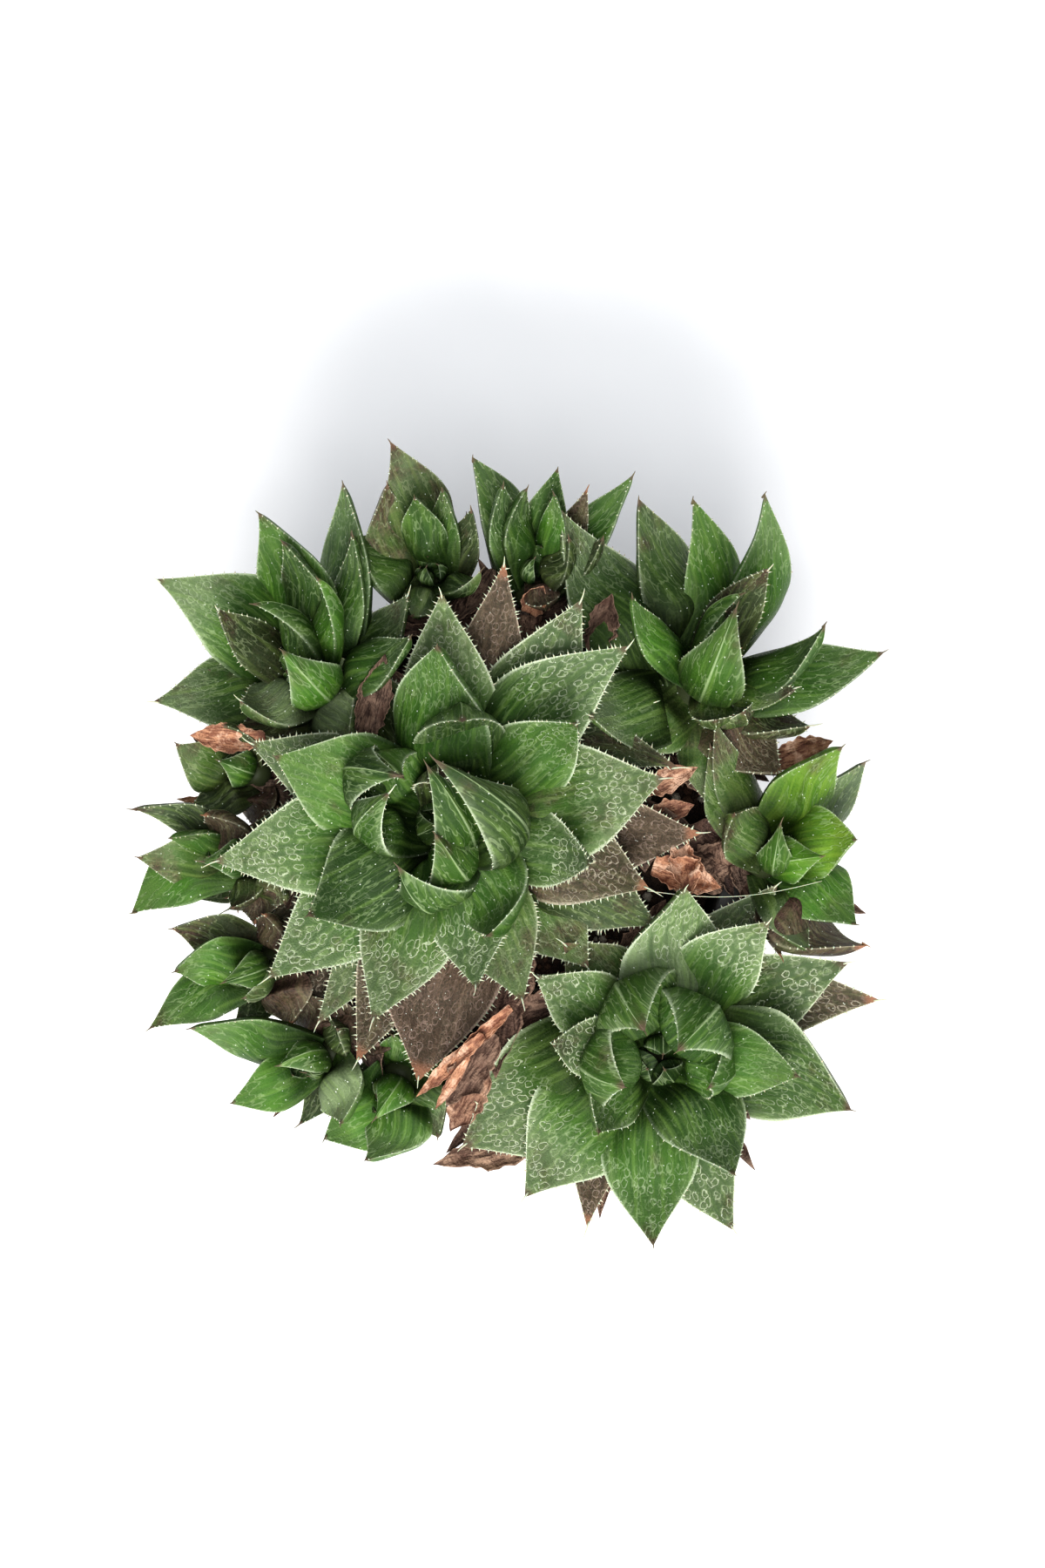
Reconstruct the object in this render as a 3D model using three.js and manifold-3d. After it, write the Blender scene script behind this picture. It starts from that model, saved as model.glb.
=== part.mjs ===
// A potted clump of Haworthia marumiana: rosettes of keeled, pointed leaves on short stems in a small pot.
// Millimetres, +Z up. The origin is the middle of the pot's underside.
import * as THREE from 'three';
import { mergeVertices } from 'three/addons/utils/BufferGeometryUtils.js';
import Module from 'manifold-3d';

const wasm = await Module();
wasm.setup();

// Driving dimensions of the pot and its soil, in mm
const POT_HEIGHT = 58;
const POT_RIM_RADIUS = 32;
const POT_FOOT_RADIUS = 23;
const POT_WALL = 1.8;
const RIM_BAND = 8;
const RIM_STEP = 1.6;
const RIM_CHAMFER = 0.5;
const FOOT_CHAMFER = 0.8;
const DRAIN_RADIUS = 3;
const DRAIN_CIRCLE = 14;
const DRAIN_COUNT = 4;
const DRAIN_TURN = 18;
const SOIL_TOP = 55;
const SOIL_CROWN = 1.5;
const SOIL_EDGE = 0.7;

// Stems and rosette cores. A core's radius is given with its rosette; these are shares of it.
const STEM_RADIUS = 0.5;
const CORE_HALF = 0.95;
const CORE_PROFILE = [[0, -CORE_HALF], [0.75, -0.6], [0.7, 0.4], [0, CORE_HALF]];

// A stem reaches this far into the soil, and turns towards its rosette at this share of the way over to it
const STEM_DEPTH = 9;
const STEM_SLOPE = 0.15;
const STEM_ELBOW = 0.2;

// A leaf's root, in shares of the core's radius: the oldest is rooted low and far out, the youngest high
// and close to the axis
const ROOT_OUT = 0.55;
const ROOT_OUT_FALL = 0.35;
const ROOT_LOW = -0.6;
const ROOT_RISE = 1.1;

// A leaf's form: its depth behind its margins as a share of its width, and how far its back bows out as a
// share of its length. Margins and crown are shares of the depth.
const LEAF_DEPTH = 0.3;
const LEAF_BOW = 0.13;
const MARGIN_BACK = 0.1;
const CROWN = 0.22;

// Dry leaves are thin. They are rooted in the stem, one under the other from a little below its top.
const DRY_THICKNESS = 1;
const DRY_DROP = 1.5;
const DRY_STEP = 0.6;
const DRY_BOW = 0.1;

// Clearances, and the length under which an edge is drawn together
const GAP = 0.3;
const STEM_GAP = 0.4;
const LEAF_GAP = 0.35;
const SHORT_EDGE = 0.03;
const SAME_POINT = 1e-4;

// How finely round things are faceted
const POT_SIDES = 28;
const DRAIN_SIDES = 10;
const SOIL_SIDES = 16;
const CORE_SIDES = 6;
const STEM_SIDES = 6;
const STEM_STEPS = 3;

// A leaf's sections: place along its centreline, share of the full width, share of the full depth
const LEAF_SECTIONS = [
  [0, 0.36, 0.6],
  [0.3, 0.82, 0.95],
  [0.56, 1, 0.95],
  [0.75, 0.72, 0.7],
  [0.89, 0.33, 0.42],
];

// A narrow leaf has fewer sections
const NARROW = 9.6;
const NARROW_SECTIONS = [
  [0, 0.36, 0.6],
  [0.42, 1, 1],
  [0.7, 0.78, 0.72],
  [0.89, 0.32, 0.42],
];

// Each leaf is [direction, reach, lift, width, root direction, bow]. Direction and reach say where its tip
// lies from the rosette's heart seen from above (degrees from +X, mm), lift how high the tip stands over the
// heart. A leaf that bends over the heart also names the side that it is rooted on. Bow is how far its back
// bulges out, as a share of its length. Leaves run from the oldest to the youngest. Purple-grey old leaves
// stay in the green node: they are alive and part of the rosette.
const ROSETTES = [
  {
    name: 'rosette_main', heart: [-8.5, 1, 71], lean: [205, 8], core: 6.5, hole: [-5, 0],
    leaves: [
      [-111, 34.5, 1, 11], [-97, 35, 1, 18], [78, 35, 4, 9.5], [-123, 32.5, 0, 9], [-27, 31, 1, 13],
      [-47, 27, -1, 13], [125, 27, 1, 11], [-178, 27, 0, 12], [30, 31, 1, 11], [159, 28.5, 5, 11],
      [13, 31, 4, 11], [-139, 32, 5, 13.5], [-19, 28, 5, 13], [59, 34, 8, 13.5], [92, 30, 9, 13],
      [11, 30.5, 10, 15], [-170, 31.5, 10, 14], [-111, 28.5, 9, 12.5], [-68, 26, 8, 11.5],
      [44, 33, 12, 15], [160, 24.5, 15, 13.5], [-146, 22.5, 14, 14], [-81, 22.5, 11, 11],
      [94, 23, 16, 14], [37, 21, 18, 11], [-17, 19.5, 15, 11.5], [-72, 16, 16, 12],
      [82, 13, 20, 12, 5, 0.3], [137, 8.5, 20, 9, 165, 0.3], [-139, 9, 19, 11, -65, 0.3],
      [113, 8.5, 21, 6.5, 120, 0.25], [152, 8.5, 19, 6, -170, 0.25], [105, 8.5, 23, 14, -20, 0.46],
      [-120, 3, 17, 5.5, -15, 0.25], [106, 4.5, 16, 5.5, 100, 0.2],
    ],
  },
  {
    name: 'rosette_south_east', heart: [18.5, -29.5, 66], lean: [-60, 16], core: 6, hole: [12, -15.5],
    leaves: [
      [12, 31, -2, 7], [-66, 26, -1, 10], [-105, 26, -3, 7], [53, 27.5, 4, 10], [24, 28.5, 4, 11],
      [-155, 28, 2, 14.5], [-131, 26, 4, 13.5], [-90, 26, 6, 12.5], [-17, 27.5, 6, 13.5],
      [148, 18.5, 10, 9.5], [48, 23, 10, 11.5], [79, 22, 10, 14], [-57, 19.5, 13, 11.5], [-10, 19.5, 12, 9.5],
      [176, 13.5, 14, 8.5], [-124, 13, 15, 8.5], [-129, 6, 17, 9, 175, 0.26],
      [115, 3, 18, 10, 115, 0.3], [-34, 8.5, 16, 8, 0, 0.26], [2, 3, 19, 9, 40, 0.3],
    ],
  },
  {
    name: 'rosette_north_west', heart: [-26, 19, 66], lean: [135, 38], core: 5, hole: [-16, 11],
    leaves: [
      [-152, 12, 3, 8], [45, 17, 5, 8], [-174, 22, 3, 9], [83, 27, 5, 7], [109, 24, 10, 9.5],
      [147, 25.5, 8, 10], [104, 19.5, 12, 8], [77, 20.5, 11, 6.5], [-43, 5, 8, 7, -43, 0.15], [27, 14, 14, 7.5],
      [143, 16.5, 14, 6.5], [129, 13.5, 17, 7.5], [90, 14, 17, 7], [136, 6.5, 18, 8, -45, 0.24],
    ],
  },
  {
    name: 'rosette_north_east', heart: [25, 19, 66], lean: [50, 36], core: 5, hole: [16, 12],
    leaves: [
      [129, 30, 6, 11.5], [-164, 15, 7, 10], [-48, 16, 5, 10], [109, 26, 6, 8], [10, 24.5, 6, 10.5],
      [-140, 13.5, 4, 9], [-85, 17, 2, 6.5], [93, 24.5, 9, 8.5], [72, 26.5, 10, 9.5], [26, 18, 12, 7.5],
      [-34, 6.5, 9, 9, -34, 0.15], [-71, 5, 12, 6, -71, 0.12], [-2, 12.5, 11, 5], [129, 15, 15, 6],
      [60, 17.5, 15, 7], [66, 13, 17, 6], [67, 11, 19, 9, -110, 0.25],
    ],
  },
  {
    name: 'rosette_north_left', heart: [-10.5, 32, 64], lean: [105, 42], core: 3.6, hole: [-7, 19],
    leaves: [
      [165, 12, 3, 6], [115, 15, 5, 7], [107, 20, 7, 8.5], [65, 11.5, 5, 5.5], [86, 13, 8, 5.5],
      [103, 12, 11, 6], [19, 6.5, 8, 5, -60, 0.15], [-127, 5, 7, 5, -127, 0.12],
    ],
  },
  {
    name: 'rosette_north_middle', heart: [2.5, 32, 64], lean: [78, 42], core: 3.6, hole: [1.5, 20],
    leaves: [
      [115, 19, 5, 7.5], [48, 20, 5, 7], [61, 15, 5, 4.5], [78, 16, 8, 6], [35, 11.5, 6, 6], [106, 14, 9, 7],
      [93, 13, 11, 6], [53, 8, 9, 6], [77, 12.5, 13, 4], [-61, 3, 9, 4.5, -61, 0.12],
    ],
  },
  {
    name: 'rosette_east', heart: [34, -4, 67], lean: [5, 36], core: 4.2, hole: [19.5, -2],
    leaves: [
      [-42, 17.5, 1, 8], [-83, 13.5, 2, 4], [45, 18, 4, 7.5], [-67, 13.5, 5, 7], [-41, 14.5, 6, 8],
      [118, 17, 3, 6], [112, 19.5, 6, 6.5], [57, 17.5, 8, 10], [12, 11.5, 10, 9],
      [130, 7.5, 10, 8, 150, 0.15], [2, 7, 13, 6], [76, 5, 14, 5, -120, 0.2],
    ],
  },
  {
    name: 'rosette_west_upper', heart: [-35, 7.5, 66], lean: [160, 44], core: 3.2, hole: [-19.5, 5],
    leaves: [
      [-160, 8, 3, 5.5], [160, 10.5, 5, 7], [120, 7, 6, 5.5], [162, 4.5, 8, 5, -20, 0.2],
    ],
  },
  {
    name: 'rosette_west_middle', heart: [-35.5, -4, 67.5], lean: [178, 42], core: 3.4, hole: [-20, -2.5],
    leaves: [
      [-107, 7, 4, 5.5], [50, 8, 5, 6.5], [-50, 8, 4, 6.5], [-154, 17, 3, 8.5], [180, 14.5, 4, 6],
      [157, 16.5, 5, 6], [135, 8, 7, 7], [166, 10.5, 8, 5], [-175, 6, 10, 5, 0, 0.2],
    ],
  },
  {
    name: 'rosette_west_lower', heart: [-33, -18.5, 67], lean: [-157, 42], core: 3.4, hole: [-17.5, -9.5],
    leaves: [
      [92, 7, 5, 6], [50, 7, 4, 6], [158, 13.5, 3, 6], [-152, 17.5, 4, 8], [-177, 12, 7, 7.5],
      [-125, 5, 8, 5.5], [-160, 6, 10, 5, 20, 0.2],
    ],
  },
  {
    name: 'rosette_south_west', heart: [-25, -30.5, 65.5], lean: [-150, 44], core: 3.2, hole: [-13, -15.5],
    leaves: [
      [69, 4, 5, 6], [-160, 9.5, 1, 4.5], [-77, 9, 4, 7], [168, 18.5, 5, 8], [-154, 14, 6, 7],
      [-170, 6.5, 9, 5, 30, 0.2],
    ],
  },
  {
    name: 'rosette_south', heart: [-15.5, -33.5, 64.5], lean: [-125, 42], core: 3.4, hole: [-8, -18],
    leaves: [
      [96, 6, 5, 5], [-63, 8, 4, 7], [-141, 12.5, 6, 8.5], [-112, 11, 7, 7.5], [-120, 6, 10, 5, 50, 0.2],
    ],
  },
];

// Each rosette that leans has leaves on its underside too: they fan out round the lean, lower, shorter and
// narrower than the ones over them.
const UNDER_TILT = 20;
const UNDER_SPREAD = [-38, 38];
const UNDER_REACH = 0.62;
const UNDER_WIDTH = 0.6;
const UNDER_DROP = 2.5;
const UNDER_BOW = 0.16;

// The dry leaves on each stem, in the same form: [direction, reach, lift, width]
const DRY_LEAVES = {
  rosette_main: [
    [-3, 34, 0, 12], [62, 27, -2, 9], [116, 25, 1, 8], [-80, 35, -4, 11], [170, 27, -4, 9], [-145, 27, -5, 9],
  ],
  rosette_south_east: [
    [-178, 26, -2, 10], [-153, 31, -4, 6.5], [85, 20, -2, 7], [-100, 24, -6, 7], [-45, 23, -6, 7],
  ],
  rosette_north_west: [[-28, 10, 3, 7], [10, 12, 1, 6], [-160, 12, -3, 6]],
  rosette_north_east: [[-158, 13, 2, 6], [170, 14, 0, 6], [-15, 17, -2, 6], [-90, 14, -1, 7]],
  rosette_north_left: [[20, 9, 0, 5], [-30, 8, 1, 5]],
  rosette_north_middle: [[5, 11, 1, 6], [-20, 10, 2, 5]],
  rosette_east: [[-160, 12, 2, 7], [160, 12, 1, 6], [-30, 15, -3, 6]],
  rosette_west_upper: [[150, 9, 0, 6], [10, 7, 1, 5]],
  rosette_west_middle: [[60, 8, 1, 5], [0, 7, 2, 5]],
  rosette_west_lower: [[40, 7, 1, 5], [-10, 7, 1, 5]],
  rosette_south_west: [[40, 7, 1, 5], [-20, 8, 0, 5]],
  rosette_south: [[-30, 10, 1, 5], [30, 8, 1, 5]],
};

const COLOURS = {
  pot: 0x3a3430,
  soil: 0x4a3a2e,
  green: 0x3f6b33,
  dry: 0x8a5a3c,
};

const radians = THREE.MathUtils.degToRad;

// The direction on the ground that a compass angle gives
function bearing(degrees) {
  return new THREE.Vector3(Math.cos(radians(degrees)), Math.sin(radians(degrees)), 0);
}

// The rosette's axis: straight up, tipped by the lean
function axisOf(rosette) {
  const [direction, tilt] = rosette.lean;
  return bearing(direction).multiplyScalar(Math.sin(radians(tilt))).setZ(Math.cos(radians(tilt)));
}

function manifoldOf(geometry) {
  const bare = new THREE.BufferGeometry();
  bare.setAttribute('position', geometry.getAttribute('position'));
  bare.setIndex(geometry.getIndex());
  const merged = mergeVertices(bare, SAME_POINT);
  return new wasm.Manifold(new wasm.Mesh({
    numProp: 3,
    vertProperties: new Float32Array(merged.getAttribute('position').array),
    triVerts: new Uint32Array(merged.getIndex().array),
  }));
}

// Draws the two ends of every very short edge together, because cuts leave slivers behind
function welded(solid) {
  const { vertProperties, triVerts, numProp } = solid.getMesh();
  const count = vertProperties.length / numProp;
  const points = Array.from({ length: count }, (_, i) => (
    new THREE.Vector3().fromArray(vertProperties, i * numProp)));
  const stands = points.map((_, i) => i);
  const standFor = (i) => (stands[i] === i ? i : standFor(stands[i]));
  for (let i = 0; i < triVerts.length; i += 1) {
    const next = i % 3 === 2 ? i - 2 : i + 1;
    const [a, b] = [standFor(triVerts[i]), standFor(triVerts[next])];
    if (a !== b && points[a].distanceTo(points[b]) < SHORT_EDGE) stands[Math.max(a, b)] = Math.min(a, b);
  }
  const faces = new Map();
  for (let i = 0; i < triVerts.length; i += 3) {
    const corners = [0, 1, 2].map((j) => standFor(triVerts[i + j]));
    if (new Set(corners).size < 3) continue;
    // Two faces with the same corners lie back to back and hold nothing between them
    const key = [...corners].sort((a, b) => a - b).join();
    if (!faces.delete(key)) faces.set(key, corners);
  }
  const geometry = new THREE.BufferGeometry().setFromPoints(points);
  geometry.setIndex([...faces.values()].flat());
  return geometry;
}

function meshOf(solid, name, colour, roughness) {
  const geometry = welded(solid);
  geometry.computeVertexNormals();
  const material = new THREE.MeshStandardMaterial({ color: colour, roughness, metalness: 0 });
  const mesh = new THREE.Mesh(geometry, material);
  mesh.name = name;
  return mesh;
}

// The largest body of a solid: cutting can leave loose scraps, which are dropped
function largestBody(solid) {
  const bodies = solid.decompose();
  return bodies.reduce((best, body) => (body.volume() > best.volume() ? body : best));
}

function union(solids) {
  return solids.reduce((sum, solid) => sum.add(solid));
}

// Closed skin over rings of equally many points, the last ring drawn together in one point
function skin(rings, point) {
  const positions = [];
  const faces = [];
  const count = rings[0].length;
  for (const ring of rings) ring.forEach((p) => positions.push(p.x, p.y, p.z));
  positions.push(point.x, point.y, point.z);
  const last = rings.length * count;
  for (let j = 1; j < count - 1; j += 1) faces.push(0, j + 1, j);
  for (let i = 0; i < rings.length; i += 1) {
    for (let j = 0; j < count; j += 1) {
      const a = i * count + j;
      const b = i * count + ((j + 1) % count);
      if (i < rings.length - 1) faces.push(a, b, b + count, a, b + count, a + count);
      else faces.push(a, b, last);
    }
  }
  const geometry = new THREE.BufferGeometry();
  geometry.setAttribute('position', new THREE.Float32BufferAttribute(positions, 3));
  geometry.setIndex(faces);
  return geometry;
}

// Where a leaf runs: its root in the core, its tip, the side that its back faces, and its bow. Rank is 0 for
// the oldest leaf and 1 for the youngest.
function leafPath(rosette, row, rank) {
  const [direction, reach, lift, , rootDirection, bow = LEAF_BOW] = row;
  const axis = axisOf(rosette);
  const heart = new THREE.Vector3(...rosette.heart);
  const tip = heart.clone().addScaledVector(bearing(direction), reach);
  tip.z += lift;
  const side = rootDirection === undefined ? tip.clone().sub(heart) : bearing(rootDirection);
  const out = side.addScaledVector(axis, -side.dot(axis)).normalize();
  const root = heart.clone().addScaledVector(out, rosette.core * (ROOT_OUT - ROOT_OUT_FALL * rank));
  root.addScaledVector(axis, rosette.core * (ROOT_LOW + ROOT_RISE * rank));
  return { root, tip, out, axis, bow };
}

// One keeled leaf. The section has a nearly flat face towards the axis, two sharp margins, and a keel behind.
function leafSolid({ root, tip, out, axis, bow }, width, depth, grow = 0) {
  const chord = tip.clone().sub(root);
  const length = chord.length();
  const along = chord.clone().normalize();
  const across = new THREE.Vector3().crossVectors(out, axis);
  across.addScaledVector(along, -across.dot(along)).normalize();
  const back = new THREE.Vector3().crossVectors(along, across);
  const control = root.clone().lerp(tip, 0.5).addScaledVector(back, 2 * bow * length);
  const curve = new THREE.QuadraticBezierCurve3(root, control, tip);
  const sections = width < NARROW ? NARROW_SECTIONS : LEAF_SECTIONS;
  const rings = sections.map(([t, widthShare, depthShare]) => {
    const tangent = curve.getTangent(t);
    const centre = curve.getPoint(t).addScaledVector(tangent, t === 0 ? -grow : 0);
    const behind = new THREE.Vector3().crossVectors(tangent, across).normalize();
    const outline = leafSection((width / 2) * widthShare, depth * depthShare, grow);
    return outline.map(([x, y]) => centre.clone().addScaledVector(across, x).addScaledVector(behind, y));
  });
  return manifoldOf(skin(rings, tip.clone().addScaledVector(curve.getTangent(1), 3 * grow)));
}

// The outline across a leaf: margins left and right, the keel behind and a slight crown in front. The grown
// outline has blunt margins, and its slanted faces are moved out by more than the growth, so that they keep
// their distance too.
function leafSection(half, depth, grow) {
  const margin = -MARGIN_BACK * depth;
  const crown = [0, -CROWN * depth - 1.2 * grow];
  const keel = [0, depth + 1.3 * grow];
  if (grow === 0) return [[half, margin], keel, [-half, margin], crown];
  const wide = half + grow;
  return [
    [wide, margin - grow], [wide, margin + grow], keel, [-wide, margin + grow], [-wide, margin - grow], crown,
  ];
}

function leaves(rosette, grow = 0) {
  const last = rosette.leaves.length - 1;
  return rosette.leaves.map((row, i) => {
    const width = row[3];
    return leafSolid(leafPath(rosette, row, i / last), width, LEAF_DEPTH * width, grow);
  });
}

function underLeaves(rosette, grow = 0) {
  const [direction, tilt] = rosette.lean;
  if (tilt < UNDER_TILT) return [];
  const reach = UNDER_REACH * Math.max(...rosette.leaves.map((row) => row[1]));
  const width = UNDER_WIDTH * Math.max(...rosette.leaves.map((row) => row[3]));
  return UNDER_SPREAD.map((turn) => {
    const row = [direction + turn, reach, -UNDER_DROP, width, undefined, UNDER_BOW];
    return leafSolid(leafPath(rosette, row, 0), width, LEAF_DEPTH * width, grow);
  });
}

// A rounded core that all the leaves of a rosette are rooted in
function coreSolid(rosette, grow = 0) {
  const r = rosette.core + 1.5 * grow;
  const profile = CORE_PROFILE.map(([x, y]) => new THREE.Vector2(x * r, y * r));
  const core = new THREE.LatheGeometry(profile, CORE_SIDES);
  return manifoldOf(placeAlong(core, new THREE.Vector3(...rosette.heart), axisOf(rosette)));
}

// Turns a shape made round +Y so that it stands along an axis at a point
function placeAlong(geometry, point, axis) {
  geometry.applyQuaternion(new THREE.Quaternion().setFromUnitVectors(new THREE.Vector3(0, 1, 0), axis));
  return geometry.translate(point.x, point.y, point.z);
}

// Where a stem runs: up out of its hole in the soil, then over to the underside of the rosette
function stemPath(rosette) {
  const heart = new THREE.Vector3(...rosette.heart);
  const foot = new THREE.Vector3(...rosette.hole, SOIL_TOP - STEM_DEPTH);
  const sideways = Math.hypot(heart.x - foot.x, heart.y - foot.y);
  const elbow = foot.clone().lerp(heart, STEM_ELBOW);
  elbow.z = heart.z - STEM_SLOPE * sideways - STEM_RADIUS * rosette.core;
  const approach = heart.clone().sub(elbow).normalize();
  const top = heart.addScaledVector(approach, -CORE_HALF * rosette.core - STEM_GAP);
  return { foot, elbow, top, approach };
}

function stemSolid(rosette, grow = 0) {
  const { foot, elbow, top, approach } = stemPath(rosette);
  foot.z -= grow;
  top.addScaledVector(approach, grow);
  const curve = new THREE.QuadraticBezierCurve3(foot, elbow, top);
  const radius = STEM_RADIUS * rosette.core + grow;
  const turns = Array.from({ length: STEM_SIDES }, (_, i) => (360 / STEM_SIDES) * i);
  const corners = turns.map((turn) => bearing(turn).multiplyScalar(radius));
  return manifoldOf(new THREE.ExtrudeGeometry(new THREE.Shape(corners), {
    extrudePath: curve, steps: STEM_STEPS, bevelEnabled: false,
  }));
}

function dryLeaves(rosette, grow = 0) {
  const { top, approach } = stemPath(rosette);
  return DRY_LEAVES[rosette.name].map((row, i) => {
    const root = top.clone().addScaledVector(approach, -DRY_DROP - DRY_STEP * i);
    return leafSolid({ ...leafPath(rosette, row, 0), root, bow: DRY_BOW }, row[3], DRY_THICKNESS, grow);
  });
}

function potProfile() {
  const top = POT_HEIGHT;
  const body = POT_RIM_RADIUS - RIM_STEP;
  return [
    [0, 0], [POT_FOOT_RADIUS, 0], [POT_FOOT_RADIUS + FOOT_CHAMFER, FOOT_CHAMFER],
    [body, top - RIM_BAND], [POT_RIM_RADIUS, top - RIM_BAND + RIM_CHAMFER],
    [POT_RIM_RADIUS, top - RIM_CHAMFER], [POT_RIM_RADIUS - RIM_CHAMFER, top], [body - POT_WALL, top],
    [POT_FOOT_RADIUS - POT_WALL, POT_WALL], [0, POT_WALL],
  ];
}

function lathe(profile, sides) {
  const geometry = new THREE.LatheGeometry(profile.map(([r, z]) => new THREE.Vector2(r, z)), sides);
  return geometry.rotateX(Math.PI / 2);
}

function potSolid() {
  let pot = manifoldOf(lathe(potProfile(), POT_SIDES));
  for (let i = 0; i < DRAIN_COUNT; i += 1) {
    const at = bearing((360 / DRAIN_COUNT) * i + DRAIN_TURN).multiplyScalar(DRAIN_CIRCLE);
    const drill = new THREE.CylinderGeometry(DRAIN_RADIUS, DRAIN_RADIUS, 4 * POT_WALL, DRAIN_SIDES);
    pot = pot.subtract(manifoldOf(drill.rotateX(Math.PI / 2).translate(at.x, at.y, 0)));
  }
  return pot;
}

// The room that the pot takes up, a little larger all round, from its foot to over its rim
function potRoom() {
  const rim = (POT_RIM_RADIUS + 2 * GAP) / Math.cos(Math.PI / SOIL_SIDES);
  return manifoldOf(lathe([[0, 0], [rim, 0], [rim, POT_HEIGHT + GAP], [0, POT_HEIGHT + GAP]], SOIL_SIDES));
}

// The soil fills the pot to just under the rim, and is drilled for every stem
function soilSolid(stems) {
  const inner = POT_RIM_RADIUS - RIM_STEP - POT_WALL;
  const floor = POT_WALL + GAP;
  const footRadius = POT_FOOT_RADIUS - POT_WALL - 2 * GAP;
  const share = (SOIL_TOP - floor) / (POT_HEIGHT - floor);
  const topRadius = footRadius + (inner - footRadius) * share - 1.2 * GAP;
  const soil = manifoldOf(lathe([
    [0, floor], [footRadius, floor + SOIL_EDGE], [topRadius, SOIL_TOP - SOIL_EDGE],
    [topRadius - SOIL_EDGE, SOIL_TOP], [0, SOIL_TOP + SOIL_CROWN],
  ], SOIL_SIDES));
  return stems.reduce((rest, stem) => rest.subtract(stem), soil);
}

const plant = new THREE.Group();

const grownStems = ROSETTES.map((rosette) => stemSolid(rosette, STEM_GAP));
const bareStems = ROSETTES.map((rosette) => stemSolid(rosette));
const pot = potSolid();
const soil = soilSolid(grownStems);
plant.add(meshOf(pot, 'pot', COLOURS.pot, 0.6));
plant.add(meshOf(largestBody(soil), 'soil', COLOURS.soil, 0.95));

// A rosette keeps clear of every stem, of the pot, and of the rosettes before it in the list
const keepOut = [potRoom(), ...grownStems];
const grownGreens = [];
ROSETTES.forEach((rosette) => {
  const living = [...leaves(rosette), ...underLeaves(rosette), coreSolid(rosette)];
  const whole = union(living);
  const clear = [...keepOut, ...grownGreens].reduce((rest, other) => rest.subtract(other), whole);
  const green = largestBody(clear);
  plant.add(meshOf(green, rosette.name, COLOURS.green, 0.45));
  grownGreens.push(union([
    ...leaves(rosette, LEAF_GAP), ...underLeaves(rosette, LEAF_GAP), coreSolid(rosette, LEAF_GAP),
  ]));
});

// The dry leaves fill what is left, fused to the stem that they grew on
const grownDry = [];
ROSETTES.forEach((rosette, i) => {
  const others = [potRoom(), ...grownGreens, ...grownDry, ...grownStems.filter((_, j) => j !== i)];
  const dry = others.reduce((rest, other) => rest.subtract(other), union(dryLeaves(rosette)));
  const stem = largestBody(bareStems[i].add(dry));
  plant.add(meshOf(stem, rosette.name.replace('rosette', 'stem'), COLOURS.dry, 0.85));
  grownDry.push(union(dryLeaves(rosette, LEAF_GAP)));
});

export default plant;
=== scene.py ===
import math
import random

import bpy
import numpy as np
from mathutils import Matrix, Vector, noise


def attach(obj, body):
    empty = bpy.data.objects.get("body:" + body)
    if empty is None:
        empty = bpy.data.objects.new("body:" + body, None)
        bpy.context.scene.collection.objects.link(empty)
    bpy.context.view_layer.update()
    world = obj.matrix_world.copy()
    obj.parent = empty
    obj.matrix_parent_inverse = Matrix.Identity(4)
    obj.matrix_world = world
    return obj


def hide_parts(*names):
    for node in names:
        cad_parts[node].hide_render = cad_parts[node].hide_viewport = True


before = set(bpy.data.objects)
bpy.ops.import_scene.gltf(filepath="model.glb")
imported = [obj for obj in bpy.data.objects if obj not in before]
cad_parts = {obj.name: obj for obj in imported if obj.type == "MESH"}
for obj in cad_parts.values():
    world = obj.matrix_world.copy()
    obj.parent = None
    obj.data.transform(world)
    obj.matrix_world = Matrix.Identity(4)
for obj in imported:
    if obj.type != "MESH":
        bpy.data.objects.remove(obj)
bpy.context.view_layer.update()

MM = 0.001
TURN = 2 * math.pi

# Pot, soil and stems
POT_HEIGHT = 58
POT_RIM_RADIUS = 32
POT_FOOT_RADIUS = 23
POT_WALL = 1.8
POT_CORNER = 0.7
POT_SIDES = 128
RIM_BAND = 8
RIM_STEP = 1.6
DRAIN_RADIUS = 3
DRAIN_CIRCLE = 14
DRAIN_COUNT = 4
DRAIN_TURN = 18
SOIL_TOP = 55
SOIL_CROWN = 1.5
SOIL_LUMP = 0.45
GRIT_COUNT = 900
GRIT_SIZE = (0.3, 1.1)
STEM_RADIUS = 0.5
STEM_DEPTH = 9
STEM_SLOPE = 0.15
STEM_ELBOW = 0.2
STEM_GAP = 0.4
STEM_SCAR = 0.05
CORE_HALF = 0.95

# A leaf's root, in shares of the core's radius, and its form
ROOT_OUT = 0.55
ROOT_OUT_FALL = 0.35
ROOT_LOW = -0.6
ROOT_RISE = 1.1
LEAF_DEPTH = 0.3
LEAF_BOW = 0.09
MARGIN_BACK = 0.1
CROWN = 0.22
DRY_DROP = 1.5
DRY_STEP = 0.6
DRY_BOW = 0.1

# Small dead leaves round each stem: how many for each millimetre of reach, how far below the rosette, and
# their reach and width in shares of the rosette's reach
LITTER_SHARE = 0.45
LITTER_DROP = (0.5, 6)
LITTER_REACH = (0.3, 0.6)
LITTER_WIDTH = (0.14, 0.24)

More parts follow.
